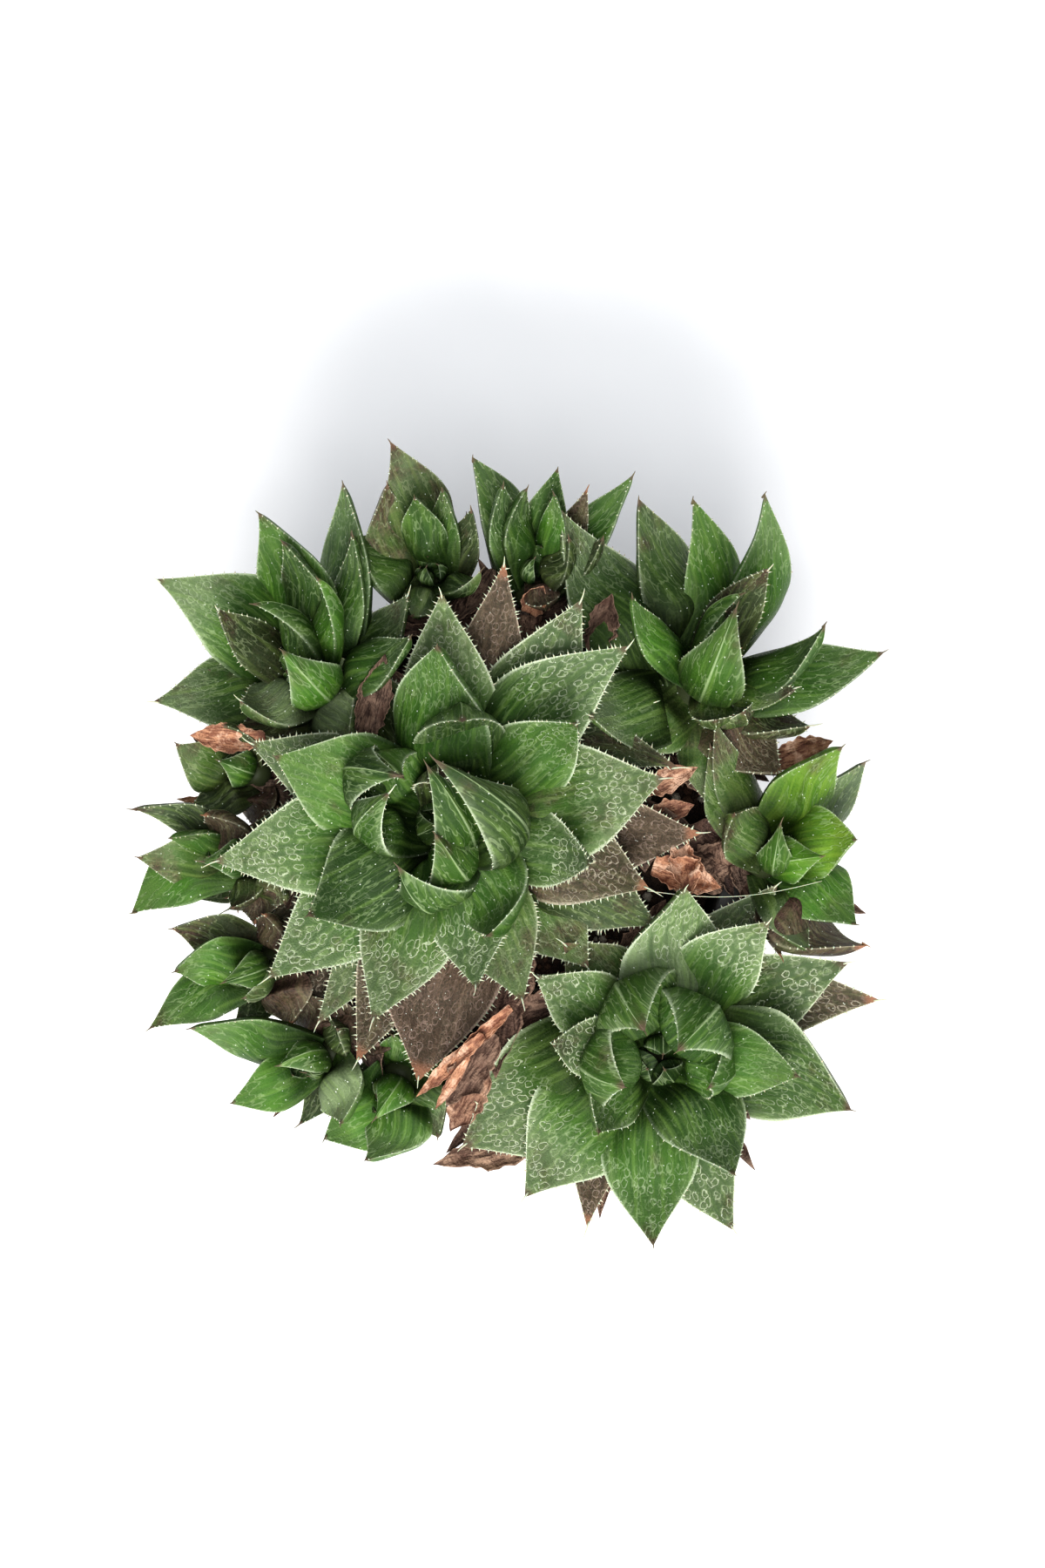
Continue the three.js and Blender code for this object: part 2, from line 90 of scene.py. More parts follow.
# Dead leaves caught between rosettes: root, tip, width, how orange, how dark, how curled
DRY_BITS = (
    ((-0.3, -23.8, 73.5), (-8.5, -31.5, 72.5), 2.6, 1.0, 0.1, 1.0),
    ((-4.0, -27.5, 73), (-13.0, -35.8, 71), 2.8, 1.0, 0.0, 0.8),
    ((-2.5, -27.5, 71), (-9.0, -37.0, 70), 6.5, 0.15, 0.5, 0.9),
    ((-6.0, -30.5, 72), (-10.5, -37.5, 71), 2.0, 0.9, 0.1, 1.0),
    ((-4.0, -32.0, 68), (-8.5, -40.5, 67), 6.0, 0.45, 0.4, 0.8),
    ((18.5, -5.0, 69), (27.5, -8.0, 72), 6.5, 1.0, 0.1, 1.0),
    ((22.0, -2.0, 69), (23.5, -9.0, 73), 5.5, 1.0, 0.0, 0.9),
    ((16.0, 4.5, 68), (24.5, 8.0, 70), 4.0, 0.6, 0.3, 0.8),
    ((17.5, 1.0, 68), (24.0, 3.0, 70), 4.5, 0.7, 0.3, 0.9),
    ((-20.0, 11.0, 72), (-17.0, 23.0, 76), 6.5, 0.1, 0.6, 1.1),
    ((2.0, 28.5, 66), (4.0, 32.0, 70), 4.5, 0.9, 0.3, 0.9),
    ((10.5, 22.5, 68), (13.0, 31.0, 75), 5.5, 0.12, 0.8, 0.95),
    ((-33.0, 11.5, 71), (-43.0, 12.2, 72), 4.4, 1.0, 0.0, 0.6),
    ((-35.0, 2.6, 64), (-45.0, 3.8, 66), 2.4, 0.8, 0.0, 0.7),
    ((-35.0, -5.0, 66), (-39.8, -5.6, 68), 3.0, 0.9, 0.1, 0.7),
    ((34.0, 8.5, 65), (42.5, 11.5, 67), 5.0, 0.7, 0.3, 0.8),
    ((-26.0, -31.5, 63), (-32.2, -38.8, 61.5), 2.2, 0.2, 0.3, 0.8),
    ((10.0, -40.0, 62.5), (-10.9, -45.0, 63), 6.0, 0.2, 0.0, 0.6),
)
HAIR_ENDS = ((17.7, -8.4, 73), (40.8, -7.1, 74))
HAIR_RADIUS = 0.07
HAIR_SAG = 1.4
HAIR_STEPS = 24

# Leaves under each rosette that leans
UNDER_TILT = 20
UNDER_SPREAD = (-38, 38)
UNDER_REACH = 0.54
UNDER_WIDTH = 0.6
UNDER_DROP = 2.5
UNDER_BOW = 0.16
UNDER_TEETH = 0.3
UNDER_SLENDER = 0.5

# The youngest leaves at each rosette's growing point. Each is BUD_TURN degrees on from the one before.
BUD_LEAVES = 4
BUD_TURN = 137.5
BUD_HEIGHT = 0.6
BUD_FALL = 0.1
BUD_SPREAD = (0.05, 0.13)
BUD_WIDTH = 0.8
BUD_BOW = 0.22

# A leaf's outline and depth along its centreline, as place and share of the width or depth. The outline
# swells a little past the named width. It lies between a straight-sided end and a slender, drawn-out one.
LEAF_STRAIGHT = ((0, 0.84), (0.22, 0.99), (0.45, 1.06), (0.6, 0.94), (0.75, 0.62), (0.88, 0.29),
                 (0.95, 0.12), (1, 0))
LEAF_SLENDER = ((0, 0.84), (0.25, 1.02), (0.46, 1.06), (0.62, 0.83), (0.78, 0.45), (0.9, 0.18), (1, 0))
LEAF_DEEP = ((0, 0.7), (0.3, 0.95), (0.56, 0.95), (0.75, 0.7), (0.89, 0.42), (1, 0))
DRY_OUTLINE = ((0, 0.5), (0.3, 0.85), (0.55, 1), (0.75, 0.7), (0.9, 0.3), (1, 0))

# How slender the ends are on rosettes with large teeth and on the others
LARGE_TEETH = 0.7
SLENDER_LARGE = (0, 0.4)
SLENDER_SMALL = (0.3, 1)

# A leaf's front swells below its flat end and sinks a little in the end, in shares of its depth
LEAF_SWELL = (0.8, 1.3)
LEAF_HOLLOW = (0, 0.14)

# Where along a leaf the front is fullest and over what length, and where its flat end and its keel begin and
# over what length they form
CHEEK = (0.36, 0.19)
FLAT_END = (0.42, 0.25)
KEEL = (0.2, 0.5)
CRISP_KEEL = 0.55

# How far a leaf is rolled about its length, and twisted further towards its tip, in radians
LEAF_ROLL = 0.3
LEAF_TWIST = 0.35

# A leaf's chance sway, and the waves of its margins, in shares of its length and width
SWAY_SPREAD = 0.025
WAVE_HEIGHT = 0.025
WAVE_RATE = 8

# How finely a leaf is made: rings along it, closer together at the tip, and points across front and back
RINGS = 40
RING_CROWDING = 1.25
FRONT_POINTS = 11
BACK_POINTS = 9
DRY_RINGS = 28
DRY_POINTS = 13
DRY_SHEET = 0.13

# Teeth on the margins and keels, and the soft bristle at a tip, in mm. The spans are places along a leaf.
# Leaves with more than STRONG_TEETH have teeth on the keel too, KEEL_SHARE as large, and a long bristle.
TOOTH_SPACING = 0.72
TOOTH_LENGTH = 0.52
TOOTH_RADIUS = 0.14
TOOTH_FOOT = 0.12
MARGIN_TEETH = (0.34, 0.97)
KEEL_TEETH = (0.74, 0.96)
AWN_LENGTH = 2.2
AWN_RADIUS = 0.16
AWN_SHORT = 0.45
STRONG_TEETH = 0.5
KEEL_SHARE = 0.8

# What a leaf looks like: age (0 green to 1 purple-brown), net (0 smooth to 1 covered in pale rings), light
# (0 dark green, 0.75 clear green, 1 yellow-green), grey (0 to 1) and the size of its teeth (0 to 1)
YOUNG = (0.0, 0.1, 0.05, 0.15, 0)
# DEEP and SHADE are darker greens whose light is lowered to paint shade on inner leaves of the main rosette
DEEP = (0.0, 0.4, 0.24, 0.12, 0.5)
SHADE = (0.0, 0.4, 0.12, 0.12, 0.5)
CLEAR = (0.0, 0.4, 0.42, 0.1, 0.5)
FRESH = (0.0, 0.4, 0.58, 0.1, 0.5)
PALE = (0.08, 0.5, 0.72, 1.0, 1)
BRIGHT = (0.0, 0.2, 0.86, 0.0, 0.5)
GREEN = (0.04, 0.6, 0.37, 0.15, 0.6)
NET = (0.08, 1.0, 0.4, 0.75, 1)
# SILVER's light is raised, partly painted light on leaf ends that lie in shade
SILVER = (0.05, 1.0, 0.7, 0.9, 1)
GREY = (0.15, 0.8, 0.28, 0.9, 1)
DARK = (0.2, 0.35, 0.06, 0.35, 1)
# OLIVE's light is raised a little, partly painted light on shaded leaves
OLIVE = (0.25, 0.4, 0.5, 0.45, 1)
DUSK = (0.66, 0.9, 0.3, 0.7, 1)
BROWN = (0.95, 0.8, 0.3, 0.5, 1)

# How far each of the first four may lie below and above that in one leaf
LOOK_SPREAD = ((-0.06, 0.08), (-0.1, 0.1), (-0.12, 0.12), (-0.15, 0.15))


def bent(bow, root=None):
    """For a leaf that bends more than most. One that folds over the heart names the side of its root."""
    return {"bow": bow, "root": root}


def swayed(share):
    """For a leaf whose middle lies clockwise of the straight line, by a share of its length."""
    return {"sway": share}


# Each leaf: direction, reach, lift, width and look. Dry leaves have no look.
ROSETTES = {
    "main": dict(
        heart=(-8.5, 1, 71), lean=(205, 8), core=6.5, hole=(-5, 0), teeth=1, net=1, leaves=[
        (-3, 33.5, 1.5, 13, BROWN), (-146, 33, -5, 14, DUSK), (170, 31, -6, 16, DARK),
        (-158, 32, -7, 16, DARK), (-131, 33, -6, 17, DUSK), (-111, 34.5, 1, 11, DUSK),
        (-97, 35, 1, 18, BROWN), (78, 35, 4, 9.5, BROWN), (-123, 32.5, 0, 9, GREY), (-27, 31, 1, 14.5, DARK),
        (-47, 27, 0, 15, OLIVE), (125, 27, 1, 11, DARK), (-178, 27, 0, 12, DARK), (30, 31, 1, 11, DARK),
        (159, 28.5, 5, 11, GREY), (13, 31, 4, 11, DARK, swayed(-0.22)), (-139, 32, 5, 13.5, NET),
        (-19, 28, 5, 13, DUSK), (59, 34, 8, 13.5, NET), (92, 30, 9, 13, SILVER), (11, 29, 10, 15, NET),
        (-170, 31.5, 10, 14, NET), (-111, 28.5, 9, 12.5, NET), (-68, 26, 8, 11.5, OLIVE),
        (44, 33, 12, 12.5, NET, swayed(-0.05)), (160, 24.5, 15, 13.5, FRESH), (-146, 22.5, 14, 14, SHADE),
        (-81, 22.5, 11, 11, NET), (94, 23, 16, 14, FRESH), (37, 21, 18, 11, GREEN, bent(0.18)),
        (-17, 19.5, 15, 10, NET, bent(0.2)), (-72, 16, 16, 11, CLEAR, bent(0.22, -40)),
        (82, 13, 19, 11.5, DEEP, bent(0.24, 92)), (137, 8.5, 20, 9, DEEP, bent(0.42, 166)),
        (-139, 9, 19.5, 10, DEEP, bent(0.3, -72)), (137, 8, 17, 9.5, CLEAR, bent(0.38, 145)),
        (154, 8.5, 19, 8.5, GREEN, bent(0.34, -155)), (105, 8.5, 23, 10.5, DEEP, bent(0.45, -28)),
        (-139, 2.5, 18.5, 9.5, CLEAR, bent(0.3, -65)), (106, 4.5, 16, 7, DARK, bent(0.2, 100)),
        (112, 8, 20, 8.5, DEEP, bent(0.3, -50)),
    ], dry=[
        (-3, 34, 0, 12), (62, 27, -2, 9), (116, 25, 1, 8), (-80, 35, -4, 11), (170, 27, -4, 9),
        (-145, 27, -5, 9),
    ]),
    "south_east": dict(
        heart=(18.5, -29.5, 66), lean=(-60, 16), core=6, hole=(12, -15.5), teeth=0.75, net=1, leaves=[
        (12, 31, -2, 10.5, DUSK, swayed(-0.06)), (-66, 26.5, -1, 12, NET),
        (-110, 25.5, -3, 7.5, BROWN, swayed(0.05)), (53, 27.5, 4, 10, GREY), (130, 18.5, 5, 11, OLIVE),
        (24, 28.5, 4, 11, NET), (-153, 28.5, 2, 18, NET, swayed(-0.03)),
        (-131, 26, 4, 14.5, NET, swayed(-0.02)), (-90, 26, 6, 12.5, GREEN),
        (-17, 27.5, 6, 15.5, GREEN, swayed(-0.06)), (148, 18.5, 10, 9.5, NET), (48, 23, 10, 11.5, NET),
        (79, 22, 10, 14, SILVER), (-57, 19.5, 13, 11.5, GREEN), (-10, 19.5, 12, 9.5, FRESH),
        (176, 13.5, 14, 8.5, NET), (-124, 13, 15, 8.5, GREEN), (-129, 6, 17, 12, CLEAR, bent(0.26, 175)),
        (115, 3, 18, 13, CLEAR, bent(0.32, 115)), (-34, 8.5, 16, 9, CLEAR, bent(0.26, 0)),
        (2, 3, 19, 13, CLEAR, bent(0.32, 42)),
    ], dry=[
        (-178, 26, -2, 10), (-153, 31, -4, 6.5), (85, 20, -2, 7), (-107, 24, -6, 6), (-50, 21.5, -6, 5),
    ]),
    "north_west": dict(
        heart=(-26, 19, 66), lean=(135, 38), core=5, hole=(-16, 11), teeth=0.6, net=0.5, leaves=[
        (-152, 12, 3, 8, DARK), (45, 17, 5, 8, GREY), (-174, 22, 3, 11, GREY, swayed(0.13)),
        (83, 27, 5, 9.8, GREEN, swayed(-0.03)), (109, 24, 10, 10.5, FRESH, swayed(-0.01)),
        (147, 25.5, 8, 12, NET, swayed(0.08)), (104, 19.5, 12, 8, GREEN), (77, 20.5, 11, 6.5, GREEN),
        (-168, 10.5, 8, 9, GREY, bent(0.12)), (-58, 8, 8, 9, GREY, bent(0.15, -58)), (27, 14, 14, 7.5, GREEN),
        (143, 16.5, 14, 6.5, DARK), (129, 13.5, 17, 7.5, GREEN), (90, 14, 17, 7, FRESH),
        (136, 6.5, 18, 8, FRESH, bent(0.24, -45)),
    ], dry=[
        (-28, 10, 3, 7), (10, 12, 1, 6), (-160, 12, -3, 6),
    ]),
    "north_east": dict(
        heart=(25, 19, 66), lean=(50, 36), core=5, hole=(16, 12), teeth=0.7, net=0.6, leaves=[
        (129, 30, 6, 13.5, NET), (-164, 15.5, 12, 11, GREY), (-48, 16, 5, 10, DUSK), (-21, 15.5, 3, 9, DARK),
        (109, 26, 6, 11.5, GREEN, swayed(0.12)), (10, 24.5, 6, 10.5, GREEN), (-140, 13.5, 4, 9, OLIVE),
        (-85, 17, 2, 6.5, OLIVE), (93, 24.5, 9, 8.5, FRESH, swayed(0.17)),
        (72, 26.5, 10, 9.5, FRESH, swayed(0.16)), (26, 18, 12, 7.5, GREEN, swayed(0.08)),
        (-34, 6.5, 9, 9, GREY, bent(0.15, -34)), (-71, 5, 12, 6, OLIVE, bent(0.12, -71)),
        (-2, 12.5, 11, 5, GREY), (129, 15, 15, 6, FRESH), (60, 17.5, 15, 7, DARK), (66, 13, 17, 6, GREEN),
        (67, 11, 19, 9, GREEN, bent(0.25, -110)),
    ], dry=[
        (-158, 13, 2, 6), (170, 14, 0, 6), (-15, 12, -2, 5), (-90, 13, -2, 6),
    ]),
    "north_left": dict(
        heart=(-10.5, 32, 64), lean=(105, 42), core=3.6, hole=(-7, 19), teeth=0.35, net=0.35, leaves=[
        (149, 13, 7, 8.5, GREEN, swayed(0.1)), (115, 15, 5, 9, OLIVE, swayed(-0.1)),
        (107, 20, 7, 9, OLIVE, swayed(0.02)), (65, 11.5, 5, 5.5, DARK), (86, 13, 8, 5.5, GREEN),
        (103, 12, 11, 6, GREEN), (19, 6.5, 8, 5, GREY, bent(0.15, -60)),
        (-127, 5, 7, 5, GREY, bent(0.12, -127)),
    ], dry=[
        (20, 9, 0, 5), (-30, 8, 1, 5),
    ]),
    "north_middle": dict(
        heart=(2.5, 32, 64), lean=(78, 42), core=3.6, hole=(1.5, 20), teeth=0.35, net=0.35, leaves=[
        (115, 19, 5, 8, GREEN, swayed(0.17)), (48, 20, 5, 7, FRESH, swayed(-0.05)), (61, 15, 5, 4.5, DUSK),
        (78, 16, 8, 6, GREEN), (35, 11.5, 6, 6, DARK), (106, 14, 9, 7, GREEN), (93, 13, 11, 6, GREEN),
        (53, 8, 9, 6, DARK), (77, 12.5, 13, 4, FRESH), (-61, 3, 9, 4.5, DUSK, bent(0.12, -61)),
    ], dry=[
        (5, 11, 1, 6), (-20, 10, 2, 5),
    ]),
    "east": dict(
        heart=(34, -4, 67), lean=(5, 36), core=4.2, hole=(19.5, -2), teeth=0.45, net=0.35, leaves=[
        (-42, 17.5, 1, 11, DUSK, swayed(0.18)), (-83, 13.5, 2, 4, DUSK), (45, 18, 4, 8, GREY, swayed(0.1)),
        (-67, 13.5, 5, 7, GREY), (-38, 14.5, 6, 9, BRIGHT, swayed(-0.12)), (118, 17, 3, 8.5, OLIVE),
        (112, 19.5, 6, 6.5, OLIVE), (57, 17.5, 8, 10, BRIGHT), (12, 11.5, 10, 9, BRIGHT),
        (130, 7.5, 10, 8, OLIVE, bent(0.15, 150)), (2, 7, 13, 6, BRIGHT),
        (76, 5, 14, 5, GREEN, bent(0.2, -120)),
    ], dry=[
        (-160, 12, 2, 7), (160, 12, 1, 6), (-30, 15, -3, 6),
    ]),
    "west_upper": dict(
        heart=(-35, 7.5, 66), lean=(160, 44), core=3.2, hole=(-19.5, 5), teeth=0.3, net=0.35, leaves=[
        (-88, 7.5, 0, 7, DUSK), (-150, 9, 3, 6.5, DARK), (160, 10.5, 5, 7, OLIVE, swayed(-0.12)),
        (120, 7, 6, 5.5, DARK), (162, 4.5, 8, 5, GREEN, bent(0.2, -20)),
    ], dry=[
        (150, 9, 0, 6), (10, 7, 1, 5),
    ]),
    "west_middle": dict(
        heart=(-35.5, -4, 67.5), lean=(178, 42), core=3.4, hole=(-20, -2.5), teeth=0.3, net=0.35, leaves=[
        (-84, 9, 0, 8, DUSK), (-107, 7, 4, 5.5, DARK), (50, 8, 5, 6.5, DUSK), (-50, 8, 4, 6.5, DARK),
        (-154, 17, 3, 8.5, FRESH, swayed(0.16)), (180, 14.5, 4, 7.5, OLIVE),
        (157, 16.5, 5, 5.5, DARK, swayed(0.06)), (135, 8, 7, 7, DUSK), (166, 10.5, 8, 5, GREEN),
        (-175, 6, 10, 5, GREEN, bent(0.2, 0)),
    ], dry=[
        (60, 8, 1, 5), (0, 7, 2, 5),
    ]),
    "west_lower": dict(
        heart=(-33, -18.5, 67), lean=(-157, 42), core=3.4, hole=(-17.5, -9.5), teeth=0.3, net=0.35, leaves=[
        (-68, 8.5, 0, 8, DUSK), (92, 7, 5, 6, DUSK), (50, 7, 4, 6, DUSK),
        (158, 13.5, 3, 7.5, DARK, swayed(0.02)), (-152, 17.5, 4, 7.5, GREEN, swayed(0.04)),
        (-177, 12, 7, 7.5, FRESH), (-125, 5, 8, 5.5, GREY), (-160, 6, 10, 5, GREEN, bent(0.2, 20)),
    ], dry=[
        (40, 7, 1, 5), (-10, 7, 1, 5),
    ]),
    "south_west": dict(
        heart=(-25, -30.5, 65.5), lean=(-150, 44), core=3.2, hole=(-13, -15.5), teeth=0.3, net=0.35, leaves=[
        (112, 9, 0, 8, DUSK), (86, 9, 1, 7, DUSK), (69, 4, 5, 6, DARK), (-160, 9.5, 1, 4.5, DUSK),
        (-77, 9, 8, 8, PALE), (168, 18.5, 5, 8, FRESH, swayed(-0.07)), (-154, 14, 6, 7, FRESH, swayed(-0.05)),
        (-170, 6.5, 9, 5, GREEN, bent(0.2, 30)),
    ], dry=[
        (40, 7, 1, 5), (-20, 8, 0, 5),
    ]),
    "south": dict(
        heart=(-15.5, -33.5, 64.5), lean=(-125, 42), core=3.4, hole=(-8, -18), teeth=0.3, net=0.35, leaves=[
        (112, 9, 2, 8, DUSK), (15, 9, 2, 8, OLIVE), (96, 6, 5, 5, GREEN), (-55, 9.5, 4, 8, GREY),
        (-141, 12.5, 6, 9, FRESH, swayed(-0.15)), (-112, 11.5, 7, 9, GREEN, swayed(-0.2)),
        (-120, 6, 10, 5, FRESH, bent(0.2, 50)),
    ], dry=[
        (-30, 10, 1, 5), (30, 8, 1, 5),
    ]),
}


# Small helpers

def bearing(degrees):
    angle = math.radians(degrees)
    return Vector((math.cos(angle), math.sin(angle), 0))


def axis_of(rosette):
    direction, tilt = rosette["lean"]
    axis = bearing(direction) * math.sin(math.radians(tilt))
    axis.z = math.cos(math.radians(tilt))
    return axis


def smooth_profile(stops, places):
    """A smooth curve through (place, value) stops, with no overshoot at a peak."""
    x = np.array([s[0] for s in stops], float)
    y = np.array([s[1] for s in stops], float)
    steps = np.diff(y) / np.diff(x)
    slopes = np.concatenate([[steps[0]], (steps[1:] + steps[:-1]) / 2, [steps[-1]]])
    slopes[1:-1][steps[1:] * steps[:-1] <= 0] = 0
    i = np.clip(np.searchsorted(x, places, side="right") - 1, 0, len(x) - 2)
    width = x[i + 1] - x[i]
    u = (places - x[i]) / width
    start = (2 * u**3 - 3 * u**2 + 1) * y[i] + (u**3 - 2 * u**2 + u) * width * slopes[i]
    end = (3 * u**2 - 2 * u**3) * y[i + 1] + (u**3 - u**2) * width * slopes[i + 1]
    return start + end


def curve(start, bend, end, t):
    """Points and unit tangents at places from 0 to 1 on a curve from start to end that is drawn to bend."""
    point = (1 - t) ** 2 * start + 2 * t * (1 - t) * bend + t**2 * end
    tangent = 2 * (1 - t) * (bend - start) + 2 * t * (end - bend)
    return point, tangent / np.linalg.norm(tangent, axis=-1, keepdims=True)


def circle(radius, height, sides):
    """Points on a level circle round the z axis."""
    angles = [TURN * j / sides for j in range(sides)]
    return [(radius * math.cos(a), radius * math.sin(a), height) for a in angles]


class Skin:
    """Gathers the vertices, faces, materials and attributes of one piece."""

    def __init__(self):
        self.points, self.faces, self.slots = [], [], []
        self.place, self.form, self.look, self.sharp = [], [], [], []
        self.count = 0

    def add(self, points, faces, slot, place=0, form=0, look=0, sharp=False):
        """Place, form, look and sharp are given for each point, or once for all of them."""
        n = len(points)
        self.points.append(np.asarray(points, float))
        self.faces += [[i + self.count for i in face] for face in faces]
        self.slots += [slot] * len(faces)
        self.place.append(np.broadcast_to(place, (n, 3)))
        self.form.append(np.broadcast_to(form, (n, 3)))
        self.look.append(np.broadcast_to(look, (n, 4)))
        self.sharp.append(np.broadcast_to(sharp, n))
        self.count += n

    def build(self, name, materials):
        """The finished object. Edges between two sharp points stay crisp under smooth shading."""
        mesh = bpy.data.meshes.new(name)
        mesh.from_pydata((np.concatenate(self.points) * MM).tolist(), [], self.faces)
        for material in materials:
            mesh.materials.append(material)
        mesh.polygons.foreach_set("material_index", self.slots)
        mesh.polygons.foreach_set("use_smooth", [True] * len(self.faces))
        for label, kind, field, values in (("leaf_place", "FLOAT_VECTOR", "vector", self.place),
                                           ("leaf_form", "FLOAT_VECTOR", "vector", self.form),
                                           ("leaf_look", "FLOAT_COLOR", "color", self.look)):
            attribute = mesh.attributes.new(label, kind, "POINT")
            attribute.data.foreach_set(field, np.concatenate(values).astype(np.float32).ravel())
        ends = np.zeros(len(mesh.edges) * 2, int)
        mesh.edges.foreach_get("vertices", ends)
        sharp = np.concatenate(self.sharp)[ends.reshape(-1, 2)].all(axis=1)
        mesh.edges.foreach_set("use_edge_sharp", sharp)
        mesh.update()
        piece = bpy.data.objects.new(name, mesh)
        bpy.context.scene.collection.objects.link(piece)
        return piece


def tube_faces(rings, count):
    """Quads between rings of equally many points, a cap on the first ring and a fan to a last point."""
    faces = [list(range(count))[::-1]]
    for i in range(rings - 1):
        for j in range(count):
            a, b = i * count + j, i * count + (j + 1) % count
            faces.append([a, b, b + count, a + count])
    last = rings * count
    faces += [[(rings - 1) * count + j, (rings - 1) * count + (j + 1) % count, last] for j in range(count)]
    return faces


def leaf_marks(side, share, t, back, length, seed, shift):
    """Each point's place on its leaf in mm, and its form: share of the way out to a margin, place along the
    leaf, and whether it is on the back. Materials read both. The last point is the tip."""
    along = np.broadcast_to((t * length)[:, None], side.shape)
    place = np.stack([side + seed, along + shift, np.full_like(along, seed)], -1).reshape(-1, 3)
    form = [np.broadcast_to(part, side.shape) for part in (share, t[:, None], back)]
    form = np.stack(form, -1).reshape(-1, 3)
    return np.vstack([place, [seed, length + shift, seed]]), np.vstack([form, [1, 1, 0]])


# Leaves

class LeafLine:
    """A leaf's centreline with the directions across it and behind it at each place."""

    def __init__(self, root, tip, out, axis, bow, sway=0):
        self.sway = sway
        chord = tip - root
        self.length = chord.length
        along = chord.normalized()
        across = out.cross(axis)
        across = (across - along * across.dot(along)).normalized()
        control = (root + tip) / 2 + along.cross(across) * (2 * bow * self.length)
        self.root, self.control, self.tip, self.across = (np.array(p) for p in (root, control, tip, across))

    def at(self, t):
        """Points, tangents and behind directions at an array of places from 0 to 1."""
        point, tangent = curve(self.root, self.control, self.tip, t[:, None])
        behind = np.cross(tangent, self.across)
        return point, tangent, behind / np.linalg.norm(behind, axis=1)[:, None]


def leaf_tip(rosette, row):
    tip = Vector(rosette["heart"]) + bearing(row[0]) * row[1]
    tip.z += row[2]
    return tip


def leaf_line(rosette, row, rank, root=None, bow=None):
    """The line of a leaf. Rank goes from 0 for the oldest leaf to 1 for the youngest."""
    axis = axis_of(rosette)
    heart = Vector(rosette["heart"])
    tip = leaf_tip(rosette, row)
    habit = row[5] if len(row) > 5 else {}
    rooted = habit.get("root")
    side = tip - heart if rooted is None else bearing(rooted)
    out = (side - axis * side.dot(axis)).normalized()
    if root is None:
        core = rosette["core"]
        outward, upward = ROOT_OUT - ROOT_OUT_FALL * rank, ROOT_LOW + ROOT_RISE * rank
        root = heart + out * core * outward + axis * core * upward
    if bow is None:
        bow = habit.get("bow", LEAF_BOW)
    return LeafLine(root, tip, out, axis, bow, habit.get("sway", 0))


def leaf_section(t, swell, hollow):
    """Cross-sections of a leaf at places t: each point's share across it, whether it is on the back, and how
    far it lies behind the centreline, as a share of the depth."""
    across = np.concatenate([np.linspace(1, -1, FRONT_POINTS), np.linspace(-1, 1, BACK_POINTS + 2)[1:-1]])
    is_back = np.concatenate([np.zeros(FRONT_POINTS), np.ones(BACK_POINTS)])
    ending = np.clip((t - FLAT_END[0]) / FLAT_END[1], 0, 1)[:, None]
    ending = ending**2 * (3 - 2 * ending)
    keeled = np.clip((t - KEEL[0]) / KEEL[1], 0, 1)[:, None]
    cheek = np.exp(-((t - CHEEK[0]) / CHEEK[1]) ** 2)[:, None]
    bulge = 1 - across**2
    ridge = 0.6 * (1 - np.abs(across)) + 0.4 * np.sqrt(bulge)
    back_shape = (1 - keeled) * np.sqrt(bulge) + keeled * ridge
    front_shape = (CROWN - MARGIN_BACK) * bulge**0.8 * (1 - 0.9 * ending) + swell * cheek * bulge
    front_shape = front_shape - hollow * ending * bulge * (1 - t[:, None])
    behind = np.where(is_back > 0, -MARGIN_BACK + (1 + MARGIN_BACK) * back_shape, -MARGIN_BACK - front_shape)
    return across, is_back, behind


def add_leaf(skin, line, width, look, chance, teeth, slender):
    """One living leaf: a swollen front that flattens to a triangle at the end, two crisp margins, a keel
    behind, teeth and a bristle."""
    t = 1 - (1 - np.linspace(0, 1, RINGS + 1)[:-1]) ** RING_CROWDING
    outline = (1 - slender) * smooth_profile(LEAF_STRAIGHT, t) + slender * smooth_profile(LEAF_SLENDER, t)
    deep = smooth_profile(LEAF_DEEP, t) * (LEAF_DEPTH * width)
    point, tangent, behind = line.at(t)
    sway = (line.sway + chance.uniform(-SWAY_SPREAD, SWAY_SPREAD)) * line.length * np.sin(math.pi * t)
    twist = chance.uniform(-LEAF_ROLL, LEAF_ROLL) + chance.uniform(-LEAF_TWIST, LEAF_TWIST) * t
    section = leaf_section(t, chance.uniform(*LEAF_SWELL), chance.uniform(*LEAF_HOLLOW))
    x_share, is_back, depth_out = section
    depth_out = depth_out * deep[:, None]
    waves = 1 + WAVE_HEIGHT * np.sin(WAVE_RATE * t + chance.uniform(0, 6.28))
    side_out = x_share[None, :] * (outline * width / 2 * waves)[:, None]
    turn = twist[:, None]
    x_turned = side_out * np.cos(turn) - depth_out * np.sin(turn) + sway[:, None]
    y_turned = side_out * np.sin(turn) + depth_out * np.cos(turn)
    rings = point[:, None, :] + x_turned[:, :, None] * line.across + y_turned[:, :, None] * behind[:, None, :]

    seed = chance.uniform(0, 50)
    place, form = leaf_marks(side_out, np.abs(x_share), t, is_back, line.length, seed, 3 * seed)
    count = len(x_share)
    left, keel = FRONT_POINTS - 1, FRONT_POINTS + BACK_POINTS // 2
    crisp = np.zeros((RINGS, count), bool)
    crisp[:, [0, left]] = True
    crisp[t > CRISP_KEEL, keel] = True
    skin.add(np.vstack([rings.reshape(-1, 3), line.tip]), tube_faces(RINGS, count), 0, place, form, look,
             np.append(crisp.ravel(), True))

    if teeth > 0:
        for edge, outward in ((rings[:, 0], line.across), (rings[:, left], -line.across)):
            add_teeth(skin, edge, outward, tangent, t, MARGIN_TEETH, teeth, chance, look)
    if teeth > STRONG_TEETH:
        add_teeth(skin, rings[:, keel], behind, tangent, t, KEEL_TEETH, KEEL_SHARE * teeth, chance, look)
    add_awn(skin, line, tangent[-1], behind[-1], teeth, chance, look)


